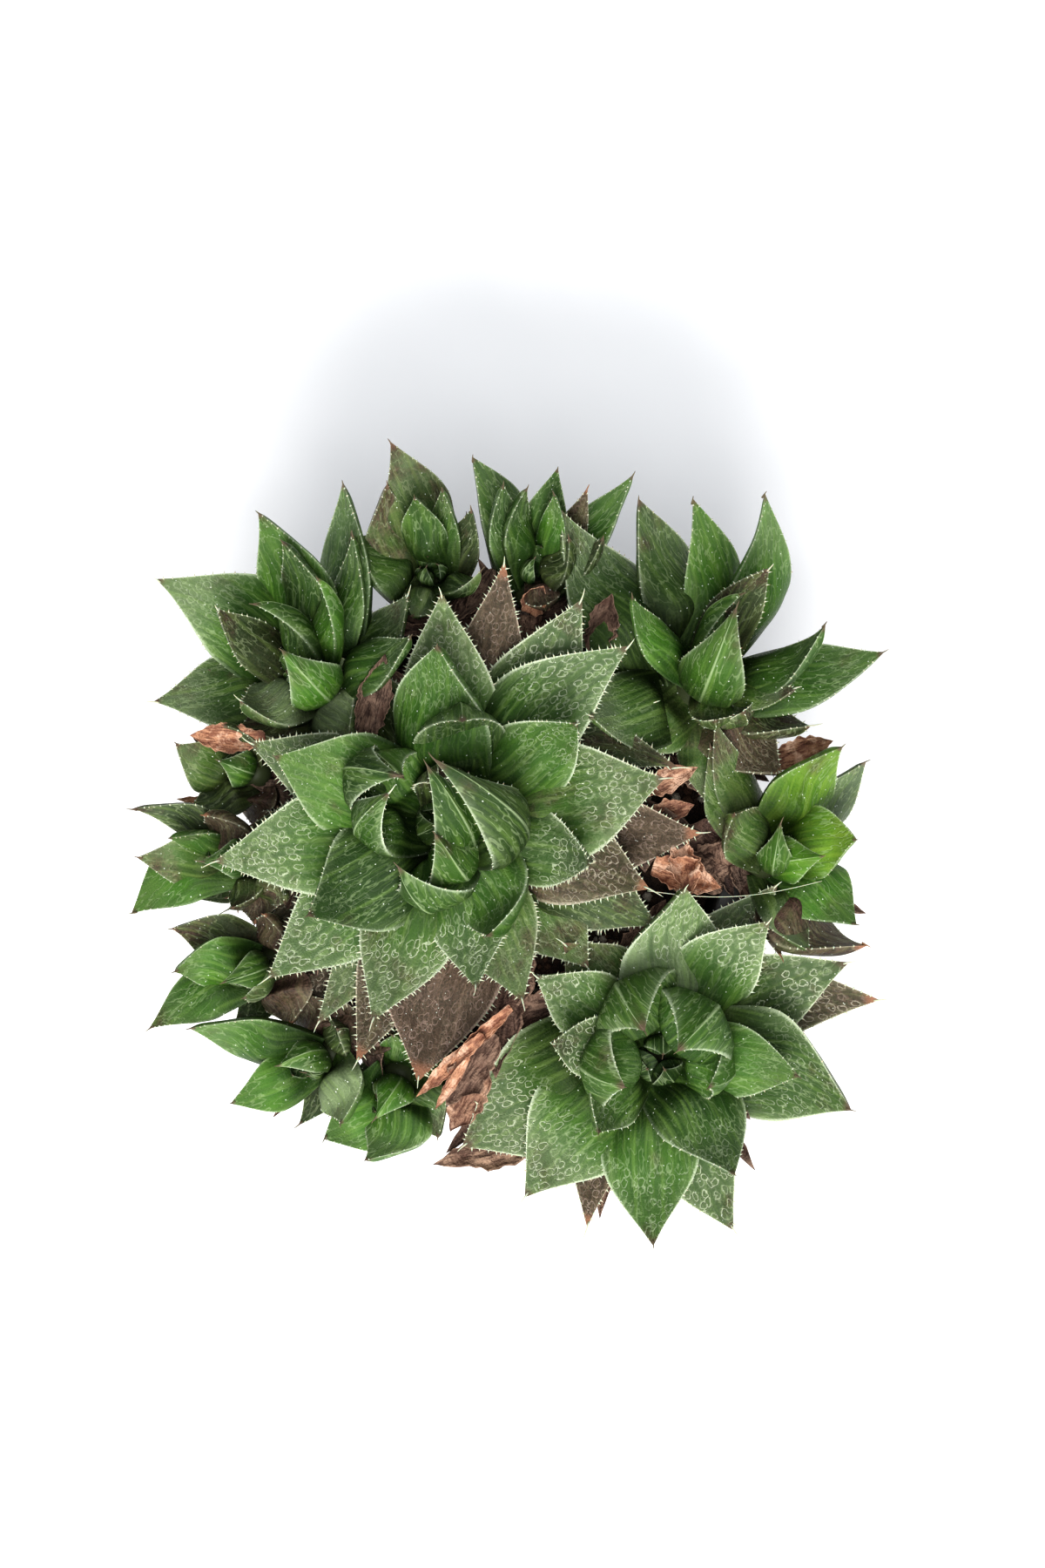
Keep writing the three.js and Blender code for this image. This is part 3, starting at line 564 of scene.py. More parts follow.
def add_teeth(skin, edge, outward, tangent, t, span, size, chance, look):
    """Small pale teeth that point outward and towards the tip, along one edge of a leaf. They grow from a
    quarter of their size to all of it over the first quarter of the span."""
    steps = np.linalg.norm(np.diff(edge, axis=0), axis=1)
    run = np.concatenate([[0], np.cumsum(steps)])
    start, end = np.interp(span, t, run)
    outward = np.broadcast_to(outward, edge.shape)
    at = start
    while at < end:
        base, out, ahead = (np.array([np.interp(at, run, line[:, k]) for k in range(3)])
                            for line in (edge, outward, tangent))
        rise = min(1.0, (at - start) / (0.35 * (end - start)) + 0.25)
        length = TOOTH_LENGTH * size * rise * chance.uniform(0.35, 1.4)
        way = out + ahead * chance.uniform(0.25, 0.7)
        way /= np.linalg.norm(way)
        radius = TOOTH_RADIUS * chance.uniform(0.8, 1.2)
        side = np.cross(way, ahead)
        side /= np.linalg.norm(side)
        foot = base - way * TOOTH_FOOT
        wide = ahead * radius * 1.4
        ring = [foot + wide, foot + side * radius, foot - wide, foot - side * radius]
        middle = [foot + way * length * 0.5 + 0.55 * (p - foot) + ahead * 0.02 for p in ring]
        tip = foot + way * (length + TOOTH_FOOT) + ahead * 0.2 * length
        skin.add(ring + middle + [tip], tube_faces(2, 4), 1, look=look)
        at += TOOTH_SPACING * chance.uniform(0.5, 1.7) / max(0.6, size)


def add_awn(skin, line, tangent, behind, teeth, chance, look):
    """The curled bristle at a leaf's tip: long and pale on leaves with strong teeth, or short and dark."""
    big = teeth > STRONG_TEETH
    inset, steps, sides = 0.9, 6, 5
    length = AWN_LENGTH * chance.uniform(0.3, 1.0) * (1 if big else AWN_SHORT)
    curl = behind * chance.uniform(-0.5, 0.5) + line.across * chance.uniform(-0.6, 0.6)
    start = line.tip - tangent * inset
    rings = []
    for k in range(steps):
        s = k / steps
        centre = start + tangent * (inset + length) * s + curl * length * 0.6 * s**2
        radius = AWN_RADIUS * (1 - 0.75 * s)
        rings += [centre + radius * (math.cos(a) * line.across + math.sin(a) * behind)
                  for a in np.arange(sides) * TURN / sides]
    end = start + tangent * (inset + length) + curl * length * 0.6
    skin.add(rings + [end], tube_faces(steps, sides), 1 if big else 0, form=(0, 1, 0), look=look)


def under_rows(rosette):
    """Dark old leaves that show on the outside of a rosette that leans."""
    direction, tilt = rosette["lean"]
    if tilt < UNDER_TILT:
        return []
    reach = UNDER_REACH * max(row[1] for row in rosette["leaves"])
    width = UNDER_WIDTH * max(row[3] for row in rosette["leaves"])
    return [(direction + turn, reach, -UNDER_DROP, width) for turn in UNDER_SPREAD]


def bud_rows(rosette):
    """The youngest leaves, folded together at the growing point. They rise a share of the way that the inner
    leaves, the last four tenths of the rows, rise on average."""
    rows = rosette["leaves"]
    axis, core = axis_of(rosette), rosette["core"]
    inner = rows[int(0.6 * len(rows)):]
    rise = sum((leaf_tip(rosette, row) - Vector(rosette["heart"])).dot(axis) for row in inner) / len(inner)
    buds = []
    for k in range(BUD_LEAVES):
        turn = BUD_TURN * k + rosette["lean"][0]
        spread = BUD_SPREAD[0] + BUD_SPREAD[1] * k
        offset = axis * rise * (BUD_HEIGHT - BUD_FALL * k) + bearing(turn) * core * spread
        direction = math.degrees(math.atan2(offset.y, offset.x))
        reach = math.hypot(offset.x, offset.y)
        buds.append((direction, reach, offset.z, BUD_WIDTH * core, YOUNG, bent(BUD_BOW, turn)))
    return buds


def living_piece(name, rosette, materials):
    chance = random.Random("living " + name)
    skin = Skin()
    rows = rosette["leaves"]
    ranked = [(row, i / (len(rows) - 1)) for i, row in enumerate(rows)]
    ranked += [(row, 1) for row in bud_rows(rosette)]
    for row, rank in ranked:
        *look, teeth = row[4]
        look = np.array(look) * [1, rosette["net"], 1, 1]
        look = look + [chance.uniform(*spread) for spread in LOOK_SPREAD]
        slender = chance.uniform(*(SLENDER_LARGE if rosette["teeth"] > LARGE_TEETH else SLENDER_SMALL))
        add_leaf(skin, leaf_line(rosette, row, rank), row[3], np.clip(look, 0, 1), chance,
                 rosette["teeth"] * teeth, slender)
    for row in under_rows(rosette):
        line = leaf_line(rosette, row, 0, bow=UNDER_BOW)
        add_leaf(skin, line, row[3], DARK[:4], chance, UNDER_TEETH * rosette["teeth"], UNDER_SLENDER)
    add_core(skin, rosette)
    return skin.build("rosette_leaves_" + name, materials)


def add_core(skin, rosette):
    """The rounded core that the leaves are rooted in. Its heights and girth are shares of its radius."""
    axis = axis_of(rosette)
    side = axis.orthogonal().normalized()
    other = axis.cross(side)
    core = rosette["core"]
    heart = Vector(rosette["heart"])
    low, high, girth, middle, reach = -CORE_HALF, 0.35, 0.7, -0.3, 0.66
    steps, sides, rings = 8, 16, []
    for k in range(steps):
        height = low + (high - low) * k / steps
        radius = girth * math.sqrt(max(0.02, 1 - ((height - middle) / reach) ** 2))
        for j in range(sides):
            angle = TURN * j / sides
            out = side * math.cos(angle) + other * math.sin(angle)
            rings.append(heart + (axis * height + out * radius) * core)
    rings.append(heart + axis * core * high)
    skin.add([tuple(p) for p in rings], tube_faces(steps, sides), 0, look=DARK[:4])


# Stems and dry leaves

def stem_path(rosette):
    """The foot, bend and top of a stem's curve, and the direction in which it comes up to the rosette."""
    heart = Vector(rosette["heart"])
    foot = Vector((*rosette["hole"], SOIL_TOP - STEM_DEPTH))
    sideways = math.hypot(heart.x - foot.x, heart.y - foot.y)
    elbow = foot.lerp(heart, STEM_ELBOW)
    elbow.z = heart.z - STEM_SLOPE * sideways - STEM_RADIUS * rosette["core"]
    approach = (heart - elbow).normalized()
    top = heart - approach * (CORE_HALF * rosette["core"] + STEM_GAP)
    return foot, elbow, top, approach


def add_stem(skin, rosette, chance):
    """The bare stem, ringed by the scars of lost leaves."""
    steps, sides = 30, 20
    start, bend, end = (np.array(p) for p in stem_path(rosette)[:3])
    radius = STEM_RADIUS * rosette["core"] * 0.94
    rings = []
    for k in range(steps):
        centre, tangent = curve(start, bend, end, k / (steps - 1))
        side = np.cross(tangent, [0.3, 0.2, 0.93] if abs(tangent[2]) < 0.9 else [1, 0, 0])
        side /= np.linalg.norm(side)
        other = np.cross(tangent, side)
        scar = 1 + STEM_SCAR * math.sin(k * 2.1)
        for j in range(sides):
            angle = TURN * j / sides
            r = radius * scar * chance.uniform(0.96, 1.02)
            rings.append(centre + r * (math.cos(angle) * side + math.sin(angle) * other))
    tip = end + (end - bend) * 0.01
    skin.add(rings + [tip], tube_faces(steps, sides), 0, np.vstack([rings, end]), look=(0.2, 0.5, 0.3, 0))


def add_dry_leaf(skin, line, width, chance, warm, dark, curl=None):
    """A dead leaf: thin, curled lengthwise, crumpled, with a ragged margin."""
    curl = chance.uniform(0.4, 0.9) if curl is None else curl
    seed = chance.uniform(0, 50)
    t = np.linspace(0, 1, DRY_RINGS + 1)[:-1]
    half = smooth_profile(DRY_OUTLINE, t)[:, None] * width / 2
    point, _, behind = line.at(t)
    x = np.linspace(1, -1, DRY_POINTS)
    crumple = np.array([[noise.noise(Vector((u * width * 0.32 + seed, v * line.length * 0.3, seed)))
                         for u in x] for v in t])
    ragged = np.array([[1 + 0.38 * noise.noise(Vector((side * 3, v * line.length * 1.1, seed)))
                        for side in (1, -1)] for v in t])
    angle = x[None, :] * curl * 1.25
    bend = np.sin(angle) / (curl * 1.25) * half * np.where(x[None, :] > 0, ragged[:, :1], ragged[:, 1:])
    lift = (1 - np.cos(angle)) / (curl * 1.25) * half
    crease = 0.16 * np.exp(-((x / 0.16) ** 2))[None, :] * half
    sheet = crease - lift + crumple * np.minimum(1.4, 0.45 * half)
    thick = DRY_SHEET * (1 - 0.5 * t)[:, None]
    side = np.hstack([bend, bend[:, ::-1]])
    sink = np.hstack([sheet - thick, sheet[:, ::-1] + thick])
    rings = point[:, None, :] + side[:, :, None] * line.across + sink[:, :, None] * behind[:, None, :]
    share = np.abs(np.append(x, x[::-1]))
    place, form = leaf_marks(side, share, t, 0, line.length, seed, seed)
    skin.add(np.vstack([rings.reshape(-1, 3), line.tip]), tube_faces(DRY_RINGS, 2 * DRY_POINTS), 0,
             place, form, (warm, dark, 0, 1))


def dry_piece(name, rosette, materials):
    """A stem with its hanging dead leaves, and smaller ones scattered round it."""
    chance = random.Random("dry " + name)
    skin = Skin()
    add_stem(skin, rosette, chance)
    _, _, top, approach = stem_path(rosette)
    for i, row in enumerate(rosette["dry"]):
        root = top - approach * (DRY_DROP + DRY_STEP * i)
        line = leaf_line(rosette, row, 0, root, DRY_BOW)
        warm, dark = chance.random() * 0.15, 0.3 + 0.7 * chance.random()
        add_dry_leaf(skin, line, row[3], chance, warm, dark, 0.35)
    reach = max(row[1] for row in rosette["leaves"])
    for _ in range(round(LITTER_SHARE * reach)):
        root = top - approach * chance.uniform(*LITTER_DROP)
        row = (chance.uniform(0, 360), reach * chance.uniform(*LITTER_REACH), chance.uniform(-6, 0))
        line = leaf_line(rosette, row, 0, root, DRY_BOW)
        warm, dark = chance.random() * 0.15, 0.5 + chance.random() / 2
        add_dry_leaf(skin, line, reach * chance.uniform(*LITTER_WIDTH), chance, warm, dark)
    return skin.build("stem_dry_" + name, materials)


def bits_piece(materials):
    """Torn and crumpled dead leaves caught between the rosettes, and a stray hair."""
    chance = random.Random("bits")
    skin = Skin()
    for root, tip, width, warm, dark, curl in DRY_BITS:
        root, tip = Vector(root), Vector(tip)
        line = LeafLine(root, tip, (tip - root).normalized(), Vector((0, 0, 1)), DRY_BOW)
        add_dry_leaf(skin, line, width, chance, warm, dark, curl)
    start, end = (Vector(p) for p in HAIR_ENDS)
    rings = []
    for k in range(HAIR_STEPS):
        s = k / (HAIR_STEPS - 1)
        centre = start.lerp(end, s) + Vector((0, -HAIR_SAG * math.sin(math.pi * s), 0.5 * math.sin(9 * s)))
        rings += [tuple(centre + Vector((0, math.cos(a), math.sin(a))) * HAIR_RADIUS) for a in (0, 2.1, 4.2)]
    skin.add(rings + [tuple(end)], tube_faces(HAIR_STEPS, 3), 1)
    return skin.build("dry_bits", materials)


# Pot and potting mix

def lathe_piece(name, profile, sides, material):
    """A closed profile of radii and heights, turned round the z axis."""
    points = [point for radius, height in profile for point in circle(radius, height, sides)]
    faces = []
    for i in range(len(profile)):
        above = (i + 1) % len(profile)
        for j in range(sides):
            beside = (j + 1) % sides
            faces.append([i * sides + j, i * sides + beside, above * sides + beside, above * sides + j])
    skin = Skin()
    skin.add(points, faces, 0, points)
    return skin.build(name, [material])


def rounded(points, radius, steps=5):
    """A closed outline with each corner rounded."""
    result = []
    for i, corner in enumerate(points):
        p = Vector(corner)
        before, after = Vector(points[i - 1]) - p, Vector(points[(i + 1) % len(points)]) - p
        reach = min(radius, 0.4 * before.length, 0.4 * after.length)
        start, end = p + before.normalized() * reach, p + after.normalized() * reach
        for k in range(steps):
            s = k / (steps - 1)
            result.append(tuple(start * (1 - s) ** 2 + p * 2 * s * (1 - s) + end * s * s))
    return result


def pot_piece(material):
    top, body = POT_HEIGHT, POT_RIM_RADIUS - RIM_STEP
    centre_hole, foot_edge, rim_slope = 0.4, 0.6, 0.3
    outline = rounded([
        (centre_hole, 0), (POT_FOOT_RADIUS + foot_edge, 0), (body, top - RIM_BAND),
        (POT_RIM_RADIUS, top - RIM_BAND + rim_slope), (POT_RIM_RADIUS, top), (body - POT_WALL, top),
        (POT_FOOT_RADIUS - POT_WALL, POT_WALL), (centre_hole, POT_WALL),
    ], POT_CORNER)
    pot = lathe_piece("nursery_pot", outline, POT_SIDES, material)
    cutters = []
    for i in range(DRAIN_COUNT):
        at = bearing(360 / DRAIN_COUNT * i + DRAIN_TURN) * DRAIN_CIRCLE * MM
        bpy.ops.mesh.primitive_cylinder_add(vertices=32, radius=DRAIN_RADIUS * MM, depth=4 * POT_WALL * MM,
                                            location=at)
        cutters.append(bpy.context.active_object)
    for cutter in cutters:
        cut = pot.modifiers.new("drain", "BOOLEAN")
        cut.operation, cut.object, cut.solver = "DIFFERENCE", cutter, "EXACT"
    bpy.context.view_layer.update()
    shaped = bpy.data.meshes.new_from_object(pot.evaluated_get(bpy.context.evaluated_depsgraph_get()))
    pot.modifiers.clear()
    pot.data = shaped
    for cutter in cutters:
        bpy.data.objects.remove(cutter)
    return pot


def soil_piece(materials):
    """Potting mix: an uneven surface under a scatter of grit."""
    chance = random.Random("soil")
    floor = POT_WALL + 0.3
    low, high = POT_FOOT_RADIUS - POT_WALL - 0.6, POT_RIM_RADIUS - RIM_STEP - POT_WALL - 1.0
    sides, walls, rings = 72, 6, 26
    points = []
    for k in range(walls):
        s = k / (walls - 1)
        points += circle(low + (high - low) * s, floor + (SOIL_TOP - floor) * s, sides)
    for k in range(1, rings):
        r = high * (1 - k / rings)
        points += [(x, y, z + chance.uniform(-SOIL_LUMP, SOIL_LUMP))
                   for x, y, z in circle(r, SOIL_TOP + SOIL_CROWN * (1 - r / high), sides)]
    points.append((0, 0, SOIL_TOP + SOIL_CROWN))
    skin = Skin()
    skin.add(points, tube_faces(walls + rings - 1, sides), 0, points)
    for _ in range(GRIT_COUNT):
        r, a = high * math.sqrt(chance.random()) * 0.97, chance.uniform(0, TURN)
        centre = Vector((r * math.cos(a), r * math.sin(a), SOIL_TOP + SOIL_CROWN * (1 - r / high) + 0.1))
        size = chance.uniform(*GRIT_SIZE)
        corners = []
        for height, spread in ((-0.5, 0.6), (0.1, 1.0), (0.55, 0.55)):
            corners += [tuple(centre + Vector(p) * size * chance.uniform(0.75, 1.15))
                        for p in circle(spread, height, 6)]
        corners.append(tuple(centre + Vector((0, 0, 0.75 * size))))
        skin.add(corners, tube_faces(3, 6), 1, corners, look=(chance.random(), 0, 0, 0))
    return skin.build("potting_mix", materials)


# Materials

def colour(code):
    """Scene-linear colour of a screen colour such as 3f6b33."""
    parts = [int(code[i:i + 2], 16) / 255 for i in (0, 2, 4)]
    return (*[p / 12.92 if p <= 0.04045 else ((p + 0.055) / 1.055) ** 2.4 for p in parts], 1)


class Value:
    """An output of a node. Adding, subtracting or multiplying makes a node that does so."""

    def __init__(self, nodes, socket):
        self.nodes, self.socket = nodes, socket

    def __add__(self, other):
        return self.nodes.math("ADD", self, other)

    def __sub__(self, other):
        return self.nodes.math("SUBTRACT", self, other)

    def __rsub__(self, other):
        return self.nodes.math("SUBTRACT", other, self)

    def __mul__(self, other):
        return self.nodes.math("MULTIPLY", self, other)

    def __abs__(self):
        return self.nodes.math("ABSOLUTE", self)


class Nodes:
    """Short calls for building a material's node tree."""

    def __init__(self, name):
        self.material = bpy.data.materials.new(name)
        self.material.use_nodes = True
        self.tree = self.material.node_tree

    def fill(self, node, inputs):
        """Links a node's inputs to values, or sets them to numbers or to screen colours such as 3f6b33."""
        for key, item in inputs.items():
            if isinstance(item, Value):
                self.tree.links.new(item.socket, node.inputs[key])
            else:
                node.inputs[key].default_value = colour(item) if isinstance(item, str) else item

    def new(self, kind, inputs, **settings):
        node = self.tree.nodes.new("ShaderNode" + kind)
        for key, setting in settings.items():
            setattr(node, key, setting)
        self.fill(node, inputs)
        return node

    def value(self, kind, inputs, output=0, **settings):
        return Value(self, self.new(kind, inputs, **settings).outputs[output])

    def attribute(self, name, output="Vector"):
        return self.value("Attribute", {}, output, attribute_name=name)

    def position(self):
        return self.value("TexCoord", {}, "Object")

    def split(self, whole, kind="XYZ"):
        return [Value(self, part) for part in self.new("Separate" + kind, {0: whole}).outputs]

    def join(self, *parts):
        return self.value("CombineXYZ", dict(enumerate(parts)))

    def math(self, operation, *parts):
        return self.value("Math", dict(enumerate(parts)), operation=operation)

    def step(self, value, low, high, start=0.0, end=1.0):
        """Goes smoothly from start at low to end at high."""
        return self.value("MapRange", dict(enumerate((value, low, high, start, end))),
                          interpolation_type="SMOOTHSTEP")

    def mix(self, share, a, b):
        return self.value("Mix", {0: share, 6: a, 7: b}, 2, data_type="RGBA")

    def noise(self, vector, scale, detail=3.0, roughness=0.55):
        return self.value("TexNoise", {"Vector": vector, "Scale": scale, "Detail": detail,
                                       "Roughness": roughness}, "Fac")

    def cells(self, vector, scale, randomness, dimensions="3D"):
        """Distance from the middle of the nearest of many random cells, and that cell's colour."""
        node = self.new("TexVoronoi", {"Vector": vector, "Scale": scale, "Randomness": randomness},
                        voronoi_dimensions=dimensions)
        return Value(self, node.outputs["Distance"]), Value(self, node.outputs["Color"])

    def bump(self, height, distance, strength=1.0):
        return self.value("Bump", {"Height": height, "Distance": distance, "Strength": strength})

    def dress(self, inputs):
        """The finished material, with these inputs to its shader."""
        self.fill(self.tree.nodes["Principled BSDF"], inputs)
        return self.material


def leaf_material():
    n = Nodes("leaf")
    place = n.attribute("leaf_place")
    x, y, seed = n.split(place)
    edge, t, back = n.split(n.attribute("leaf_form"))
    age, net, light = n.split(n.attribute("leaf_look", "Color"), "Color")
    grey = n.attribute("leaf_look", "Alpha")
    fresh, yellow = n.step(light, 0.0, 0.75), n.step(light, 0.75, 1.0)

    def lit(dark_green, clear_green, yellow_green):
        return n.mix(yellow, n.mix(fresh, dark_green, clear_green), yellow_green)

    def aged(young, old):
        return n.mix(age, young, old)

    # The ground colour: saturated near the base, greyer towards the tip
    soft = n.noise(place, 0.3, 2)
    fine = n.noise(place, 3.4, 4, 0.65)
    rough = (fine - 0.5) * 0.3
    green = n.mix(n.step(soft, 0.35, 0.75) * 0.45, lit("1c3010", "3c661e", "50781a"),
                  lit("264012", "527c20", "76922c"))
    ashen = n.step(grey, 0.88, 1.0) * 0.45
    # Towards the tip the ground turns greyer, the leaf's own colour, and lighter, which is partly painted
    # light on the flat ends that face up
    upper = n.step(t + rough + ashen, 0.5, 0.76) * (1 - back * 0.75)
    ground = n.mix(upper * n.step(grey, -0.1, 0.8, 0.2, 1.0), green, lit("4c5d44", "788a63", "86984a"))
    # Painted shade: the low part of each leaf, where the leaves crowd together, is darkened towards 121f0c
    ground = n.mix(n.step(t + rough, 0.66, 0.24) * 0.72, ground, "121f0c")
    old = n.mix(n.step(fine, 0.3, 0.7), "2b1c1b", "5e4640")
    flush = n.step(age * 0.8 + t * 0.3 + n.noise(place, 0.2, 3), 0.78, 1.15)
    ground = n.mix(n.math("MAXIMUM", flush * 0.85, age * 0.7), ground, old)

    # Lengthwise lines, dark ones low on the leaf and pale winding ones above
    lines = n.noise(n.join(x * 1.5, y * 0.09, seed), 1.0, 2, 0.5)
    dark_line = n.step(lines, 0.52, 0.34) * n.step(t, 0.95, 0.4, 0.05, 0.34)
    ground = n.mix(dark_line, ground, aged("1b2c14", "2a1d19"))
    bands = n.noise(n.join(x * 1.6, y * 0.1, seed + 9.0), 1.0, 2, 0.5)
    pale_line = n.step(bands, 0.44, 0.72) * n.step(t, 0.2, 0.5, 0.14, 0.24)
    ground = n.mix(pale_line, ground, aged(n.mix(yellow, "7f9f4e", "96b040"), "85705f"))
    winding = n.noise(n.join(x * 0.9, y * 0.3, seed), 1.0, 2, 0.55)
    vein = n.step(abs(winding - 0.5), 0.006, 0.034, 1.0, 0.0) * n.step(t, 0.35, 0.65, 0.04, 0.3)
    ground = n.mix(vein, ground, aged("9db083", "8f7c6f"))

    # Pale rings round darker dots, over the end of the leaf, in cells of about 1.2 by 1.7 mm
    ring_cells, ring_stretch, ring_radius = 0.86, 0.7, 0.33
    warp = n.noise(place, 0.9, 2)
    at = n.join(x + warp * 1.2, (y + warp * 1.4) * ring_stretch, 0.0)
    away, tint = n.cells(at, ring_cells, 0.85, "2D")
    ring = n.step(abs(away - ring_radius), 0.03, 0.09, 1.0, 0.0)
    dot = n.step(away, 0.12, 0.26, 1.0, 0.0)
    gap = n.step(away, 0.42, 0.6)
    shown = n.step(n.split(tint, "Color")[0], 0.0, 0.6, 0.25, 1.0)
    where = net * net * n.step(t + (soft - 0.5) * 0.4, 0.46, 0.66) * n.step(t, 0.99, 0.9) * (1 - back * 0.7)
    patch = where * shown
    surface = n.mix(ring * patch * 0.62, ground, aged("c4d0b2", "a08a80"))
    surface = n.mix(dot * patch * 0.4, surface, aged("3c5529", "40302a"))
    surface = n.mix(gap * where * 0.5, surface, aged("35502a", "33241f"))

    # A soft pale band along the margins that is painted light, a crisp pale margin that is partly the leaf's
    # own and partly a painted highlight, a pale line on the keel, browner tips, and tiny pale specks
    ragged = edge + rough * 0.3
    # Painted light: a soft pale band that lightens each leaf towards its margins
    border = n.step(ragged, 0.62, 1.0) * n.step(t, 0.3, 0.6) * (net * 0.2 + 0.04)
    surface = n.mix(border, surface, aged("a3b58a", "8f7b6c"))
    # A crisp pale margin, partly the leaf's own and partly a painted highlight
    rim = n.step(ragged, 0.925, 0.98) * n.step(t, 0.35, 0.7, 0.1, 1.0)
    rim = rim * n.step(net, 0.1, 0.9, 0.28, 0.92) * (1 - back * 0.5)
    surface = n.mix(rim, surface, aged("c8d4b8", "ae9a8c"))
    keel = n.step(edge, 0.07, 0.01) * back * n.step(t, 0.3, 0.7, 0.3, 1.0)
    surface = n.mix(keel * 0.55, surface, "a9bb90")
    tipped = n.step(t + (age * 0.03 + rough * 0.1), 0.93, 0.985)
    surface = n.mix(tipped * 0.85, surface, n.mix(n.step(age, 0.2, 0.6), "5f4c42", "8f6650"))
    speck, _ = n.cells(place, 1.0, 1.0)
    surface = n.mix(n.step(speck, 0.095, 0.05) * 0.75, surface, "e4eadf")

    height = (ring * patch * 0.7 + fine * 0.5) + (lines * 0.5 + vein * 0.5)
    return n.dress({
        "Base Color": surface,
        "Roughness": n.step(fine, 0.3, 0.7, 0.4, 0.6),
        "Specular IOR Level": 0.16,
        "Subsurface Weight": 0.08,
        "Subsurface Radius": (0.9, 1.2, 0.35),
        "Subsurface Scale": 0.001,
        "Normal": n.bump(height, 0.0003, 0.9),
    })


def tooth_material():
    n = Nodes("tooth")
    shade = n.noise(n.position(), 900, 2)
    return n.dress({
        "Base Color": n.mix(shade, "a9b192", "d2d3bf"),
        "Roughness": 0.55,
        "Subsurface Weight": 0.2,
        "Subsurface Scale": 0.0004,
    })


def dry_material():
    n = Nodes("dry_leaf")
    place = n.attribute("leaf_place")
    x, y, seed = n.split(place)
    edge = n.split(n.attribute("leaf_form"))[0]
    warm, dark, _ = n.split(n.attribute("leaf_look", "Color"), "Color")
    fibre = n.noise(n.join(x * 2.2, y * 0.45, seed), 1.0, 4, 0.65)
    blotch = n.noise(place, 0.45, 4, 0.6)
    fine = n.noise(place, 3.0, 3)
    sheet = n.mix(warm, n.mix(dark, "9a8473", "483b38"), "bd8d70")
    deep = n.mix(warm, "2c2321", "734838")
    surface = n.mix(n.step(fibre, 0.44, 0.6, 0.0, 0.85), sheet, deep)
    surface = n.mix(n.step(blotch, 0.5, 0.68) * 0.65, surface, n.mix(warm, "5d473d", "7a5448"))
    # Painted highlights: pale pinkish patches on the orange dead leaves
    pale = n.step(blotch, 0.5, 0.36) * n.step(warm, 0.1, 0.7, 0.15, 0.75)
    surface = n.mix(pale, surface, "e3bfa6")
    worn = n.step(edge, 0.84, 1.0) * n.step(fine, 0.35, 0.6, 0.1, 0.6)
    surface = n.mix(worn, surface, n.mix(warm, "9c8270", "e0b498"))
    return n.dress({
        "Base Color": surface,
        "Roughness": 0.75,
        "Specular IOR Level": 0.25,
        "Normal": n.bump(fibre * 0.7 + blotch * 0.8 + fine * 0.35, 0.001),
    })


def soil_material():
    n = Nodes("potting_mix")
    place = n.attribute("leaf_place")
    coarse, fine = n.noise(place, 0.9, 4), n.noise(place, 6.0, 3)
    surface = n.mix(n.step(coarse, 0.35, 0.65), "1d1612", "4a382b")
    return n.dress({
        "Base Color": n.mix(n.step(fine, 0.5, 0.8) * 0.5, surface, "7a6450"),
        "Roughness": 0.93,
        "Normal": n.bump(fine, 0.0006),
    })


def grit_material():
    n = Nodes("grit")
    kind = n.split(n.attribute("leaf_look", "Color"), "Color")[0]
    fine = n.noise(n.attribute("leaf_place"), 4.0, 3)
    bark, stone = n.mix(fine, "2a1b13", "5a3d28"), n.mix(fine, "8a8378", "c7bfae")
    return n.dress({
        "Base Color": n.mix(n.step(kind, 0.62, 0.66), bark, stone),
        "Roughness": 0.85,
        "Normal": n.bump(fine, 0.0004, 0.8),
    })


def pot_material():
    n = Nodes("nursery_pot")
    position = n.position()
    x, y, z = n.split(position)
    grain, smudge = n.noise(position, 2600, 3), n.noise(position, 60, 4)
    surface = n.mix(n.step(smudge, 0.35, 0.75), "211e1d", "37322f")
    surface = n.mix(n.step(z, 0.016, 0.0) * n.step(smudge, 0.45, 0.6) * 0.45, surface, "7d6c58")
    scuff = n.noise(n.join(x * 40.0, y * 40.0, z * 900.0), 1.0, 3)
    surface = n.mix(n.step(scuff, 0.62, 0.75) * 0.25, surface, "5c5651")
    return n.dress({
        "Base Color": surface,
        "Roughness": n.step(smudge, 0.3, 0.7, 0.42, 0.62),
        "Normal": n.bump(grain, 0.00008, 0.7),
    })


def floor_material():
    n = Nodes("floor")
    shade = n.noise(n.position(), 40, 2)
    return n.dress({
        "Base Color": n.mix(shade, (0.86, 0.865, 0.88, 1), (0.9, 0.9, 0.91, 1)),
        "Roughness": 0.9,
        "Emission Color": (0.97, 0.98, 1, 1),
        "Emission Strength": 0.13,
    })


# The plant

def make_plant():
    leaf, tooth, dry = leaf_material(), tooth_material(), dry_material()
    for name, rosette in ROSETTES.items():
        living = living_piece(name, rosette, [leaf, tooth])
        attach(living, "root")
        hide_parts("rosette_" + name)
        dead = dry_piece(name, rosette, [dry])
        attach(dead, "root")
        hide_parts("stem_" + name)
    bits = bits_piece([dry, tooth])
    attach(bits, "root")


def make_pot():
    pot = pot_piece(pot_material())
    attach(pot, "root")
    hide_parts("pot")
    soil = soil_piece([soil_material(), grit_material()])
    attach(soil, "root")
    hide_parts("soil")


# Floor, light and camera

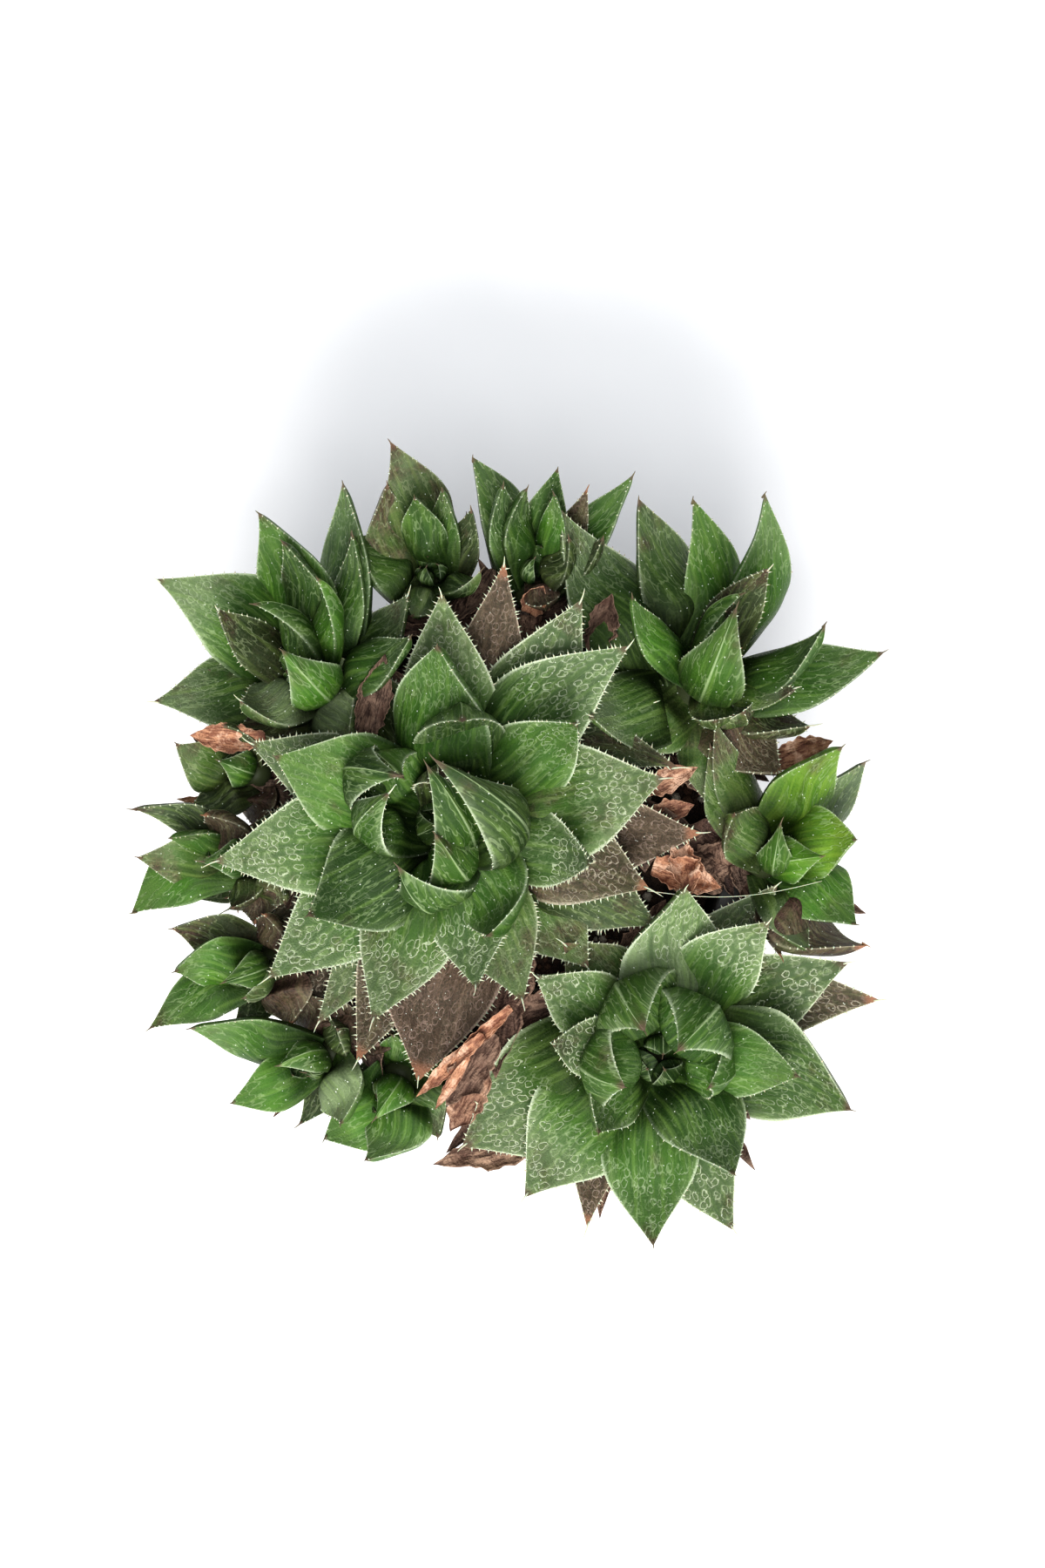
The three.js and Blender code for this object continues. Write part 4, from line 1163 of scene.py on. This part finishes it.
# The photograph looks straight down: its frame is 207 mm tall at the height of the leaves, and its middle
# lies over this point
FRAME_HEIGHT = 0.207
FRAME_CENTRE = (0.00115, 0.00575)
FOCUS_HEIGHT = 0.078
CAMERA_HEIGHT = 1.6
SENSOR = 36
FLOOR_SIZE = 4

# Round lights that point at the plant: place, size, power and tint
LIGHTS = {
    "key": ((-0.03, -0.6, 0.99), 0.62, 16.4, (1, 0.985, 0.96)),
    "overhead": ((0, -0.1, 1.9), 0.7, 11, (1, 1, 1)),
}
LIGHT_TARGET = (0, 0, 0.07)
SKY = (0.93, 0.96, 1, 1)
SKY_STRENGTH = 0.48


def make_stage():
    bpy.ops.mesh.primitive_plane_add(size=FLOOR_SIZE)
    floor = bpy.context.active_object
    floor.name = "studio_floor"
    floor.data.materials.append(floor_material())

    camera = bpy.data.cameras.new("camera")
    camera.sensor_fit = "AUTO"
    camera.sensor_width = SENSOR
    camera.lens = SENSOR * (CAMERA_HEIGHT - FOCUS_HEIGHT) / FRAME_HEIGHT
    camera.clip_start, camera.clip_end = 0.1, 10
    holder = bpy.data.objects.new("camera", camera)
    holder.location = (*FRAME_CENTRE, CAMERA_HEIGHT)
    bpy.context.scene.collection.objects.link(holder)
    bpy.context.scene.camera = holder


def soft_light(name, place, size, power, tint):
    light = bpy.data.lights.new(name, "AREA")
    light.shape, light.size, light.energy, light.color = "DISK", size, power, tint
    holder = bpy.data.objects.new(name, light)
    holder.location = place
    holder.rotation_euler = (Vector(LIGHT_TARGET) - Vector(place)).to_track_quat("-Z", "Y").to_euler()
    bpy.context.scene.collection.objects.link(holder)


def make_light():
    world = bpy.data.worlds.new("world")
    world.use_nodes = True
    background = world.node_tree.nodes["Background"]
    background.inputs["Color"].default_value = SKY
    background.inputs["Strength"].default_value = SKY_STRENGTH
    bpy.context.scene.world = world
    for name, settings in LIGHTS.items():
        soft_light(name, *settings)
    view = bpy.context.scene.view_settings
    view.view_transform = "Standard"
    view.look = "Medium High Contrast"
    view.exposure = 0.0


make_plant()
make_pot()
make_stage()
make_light()
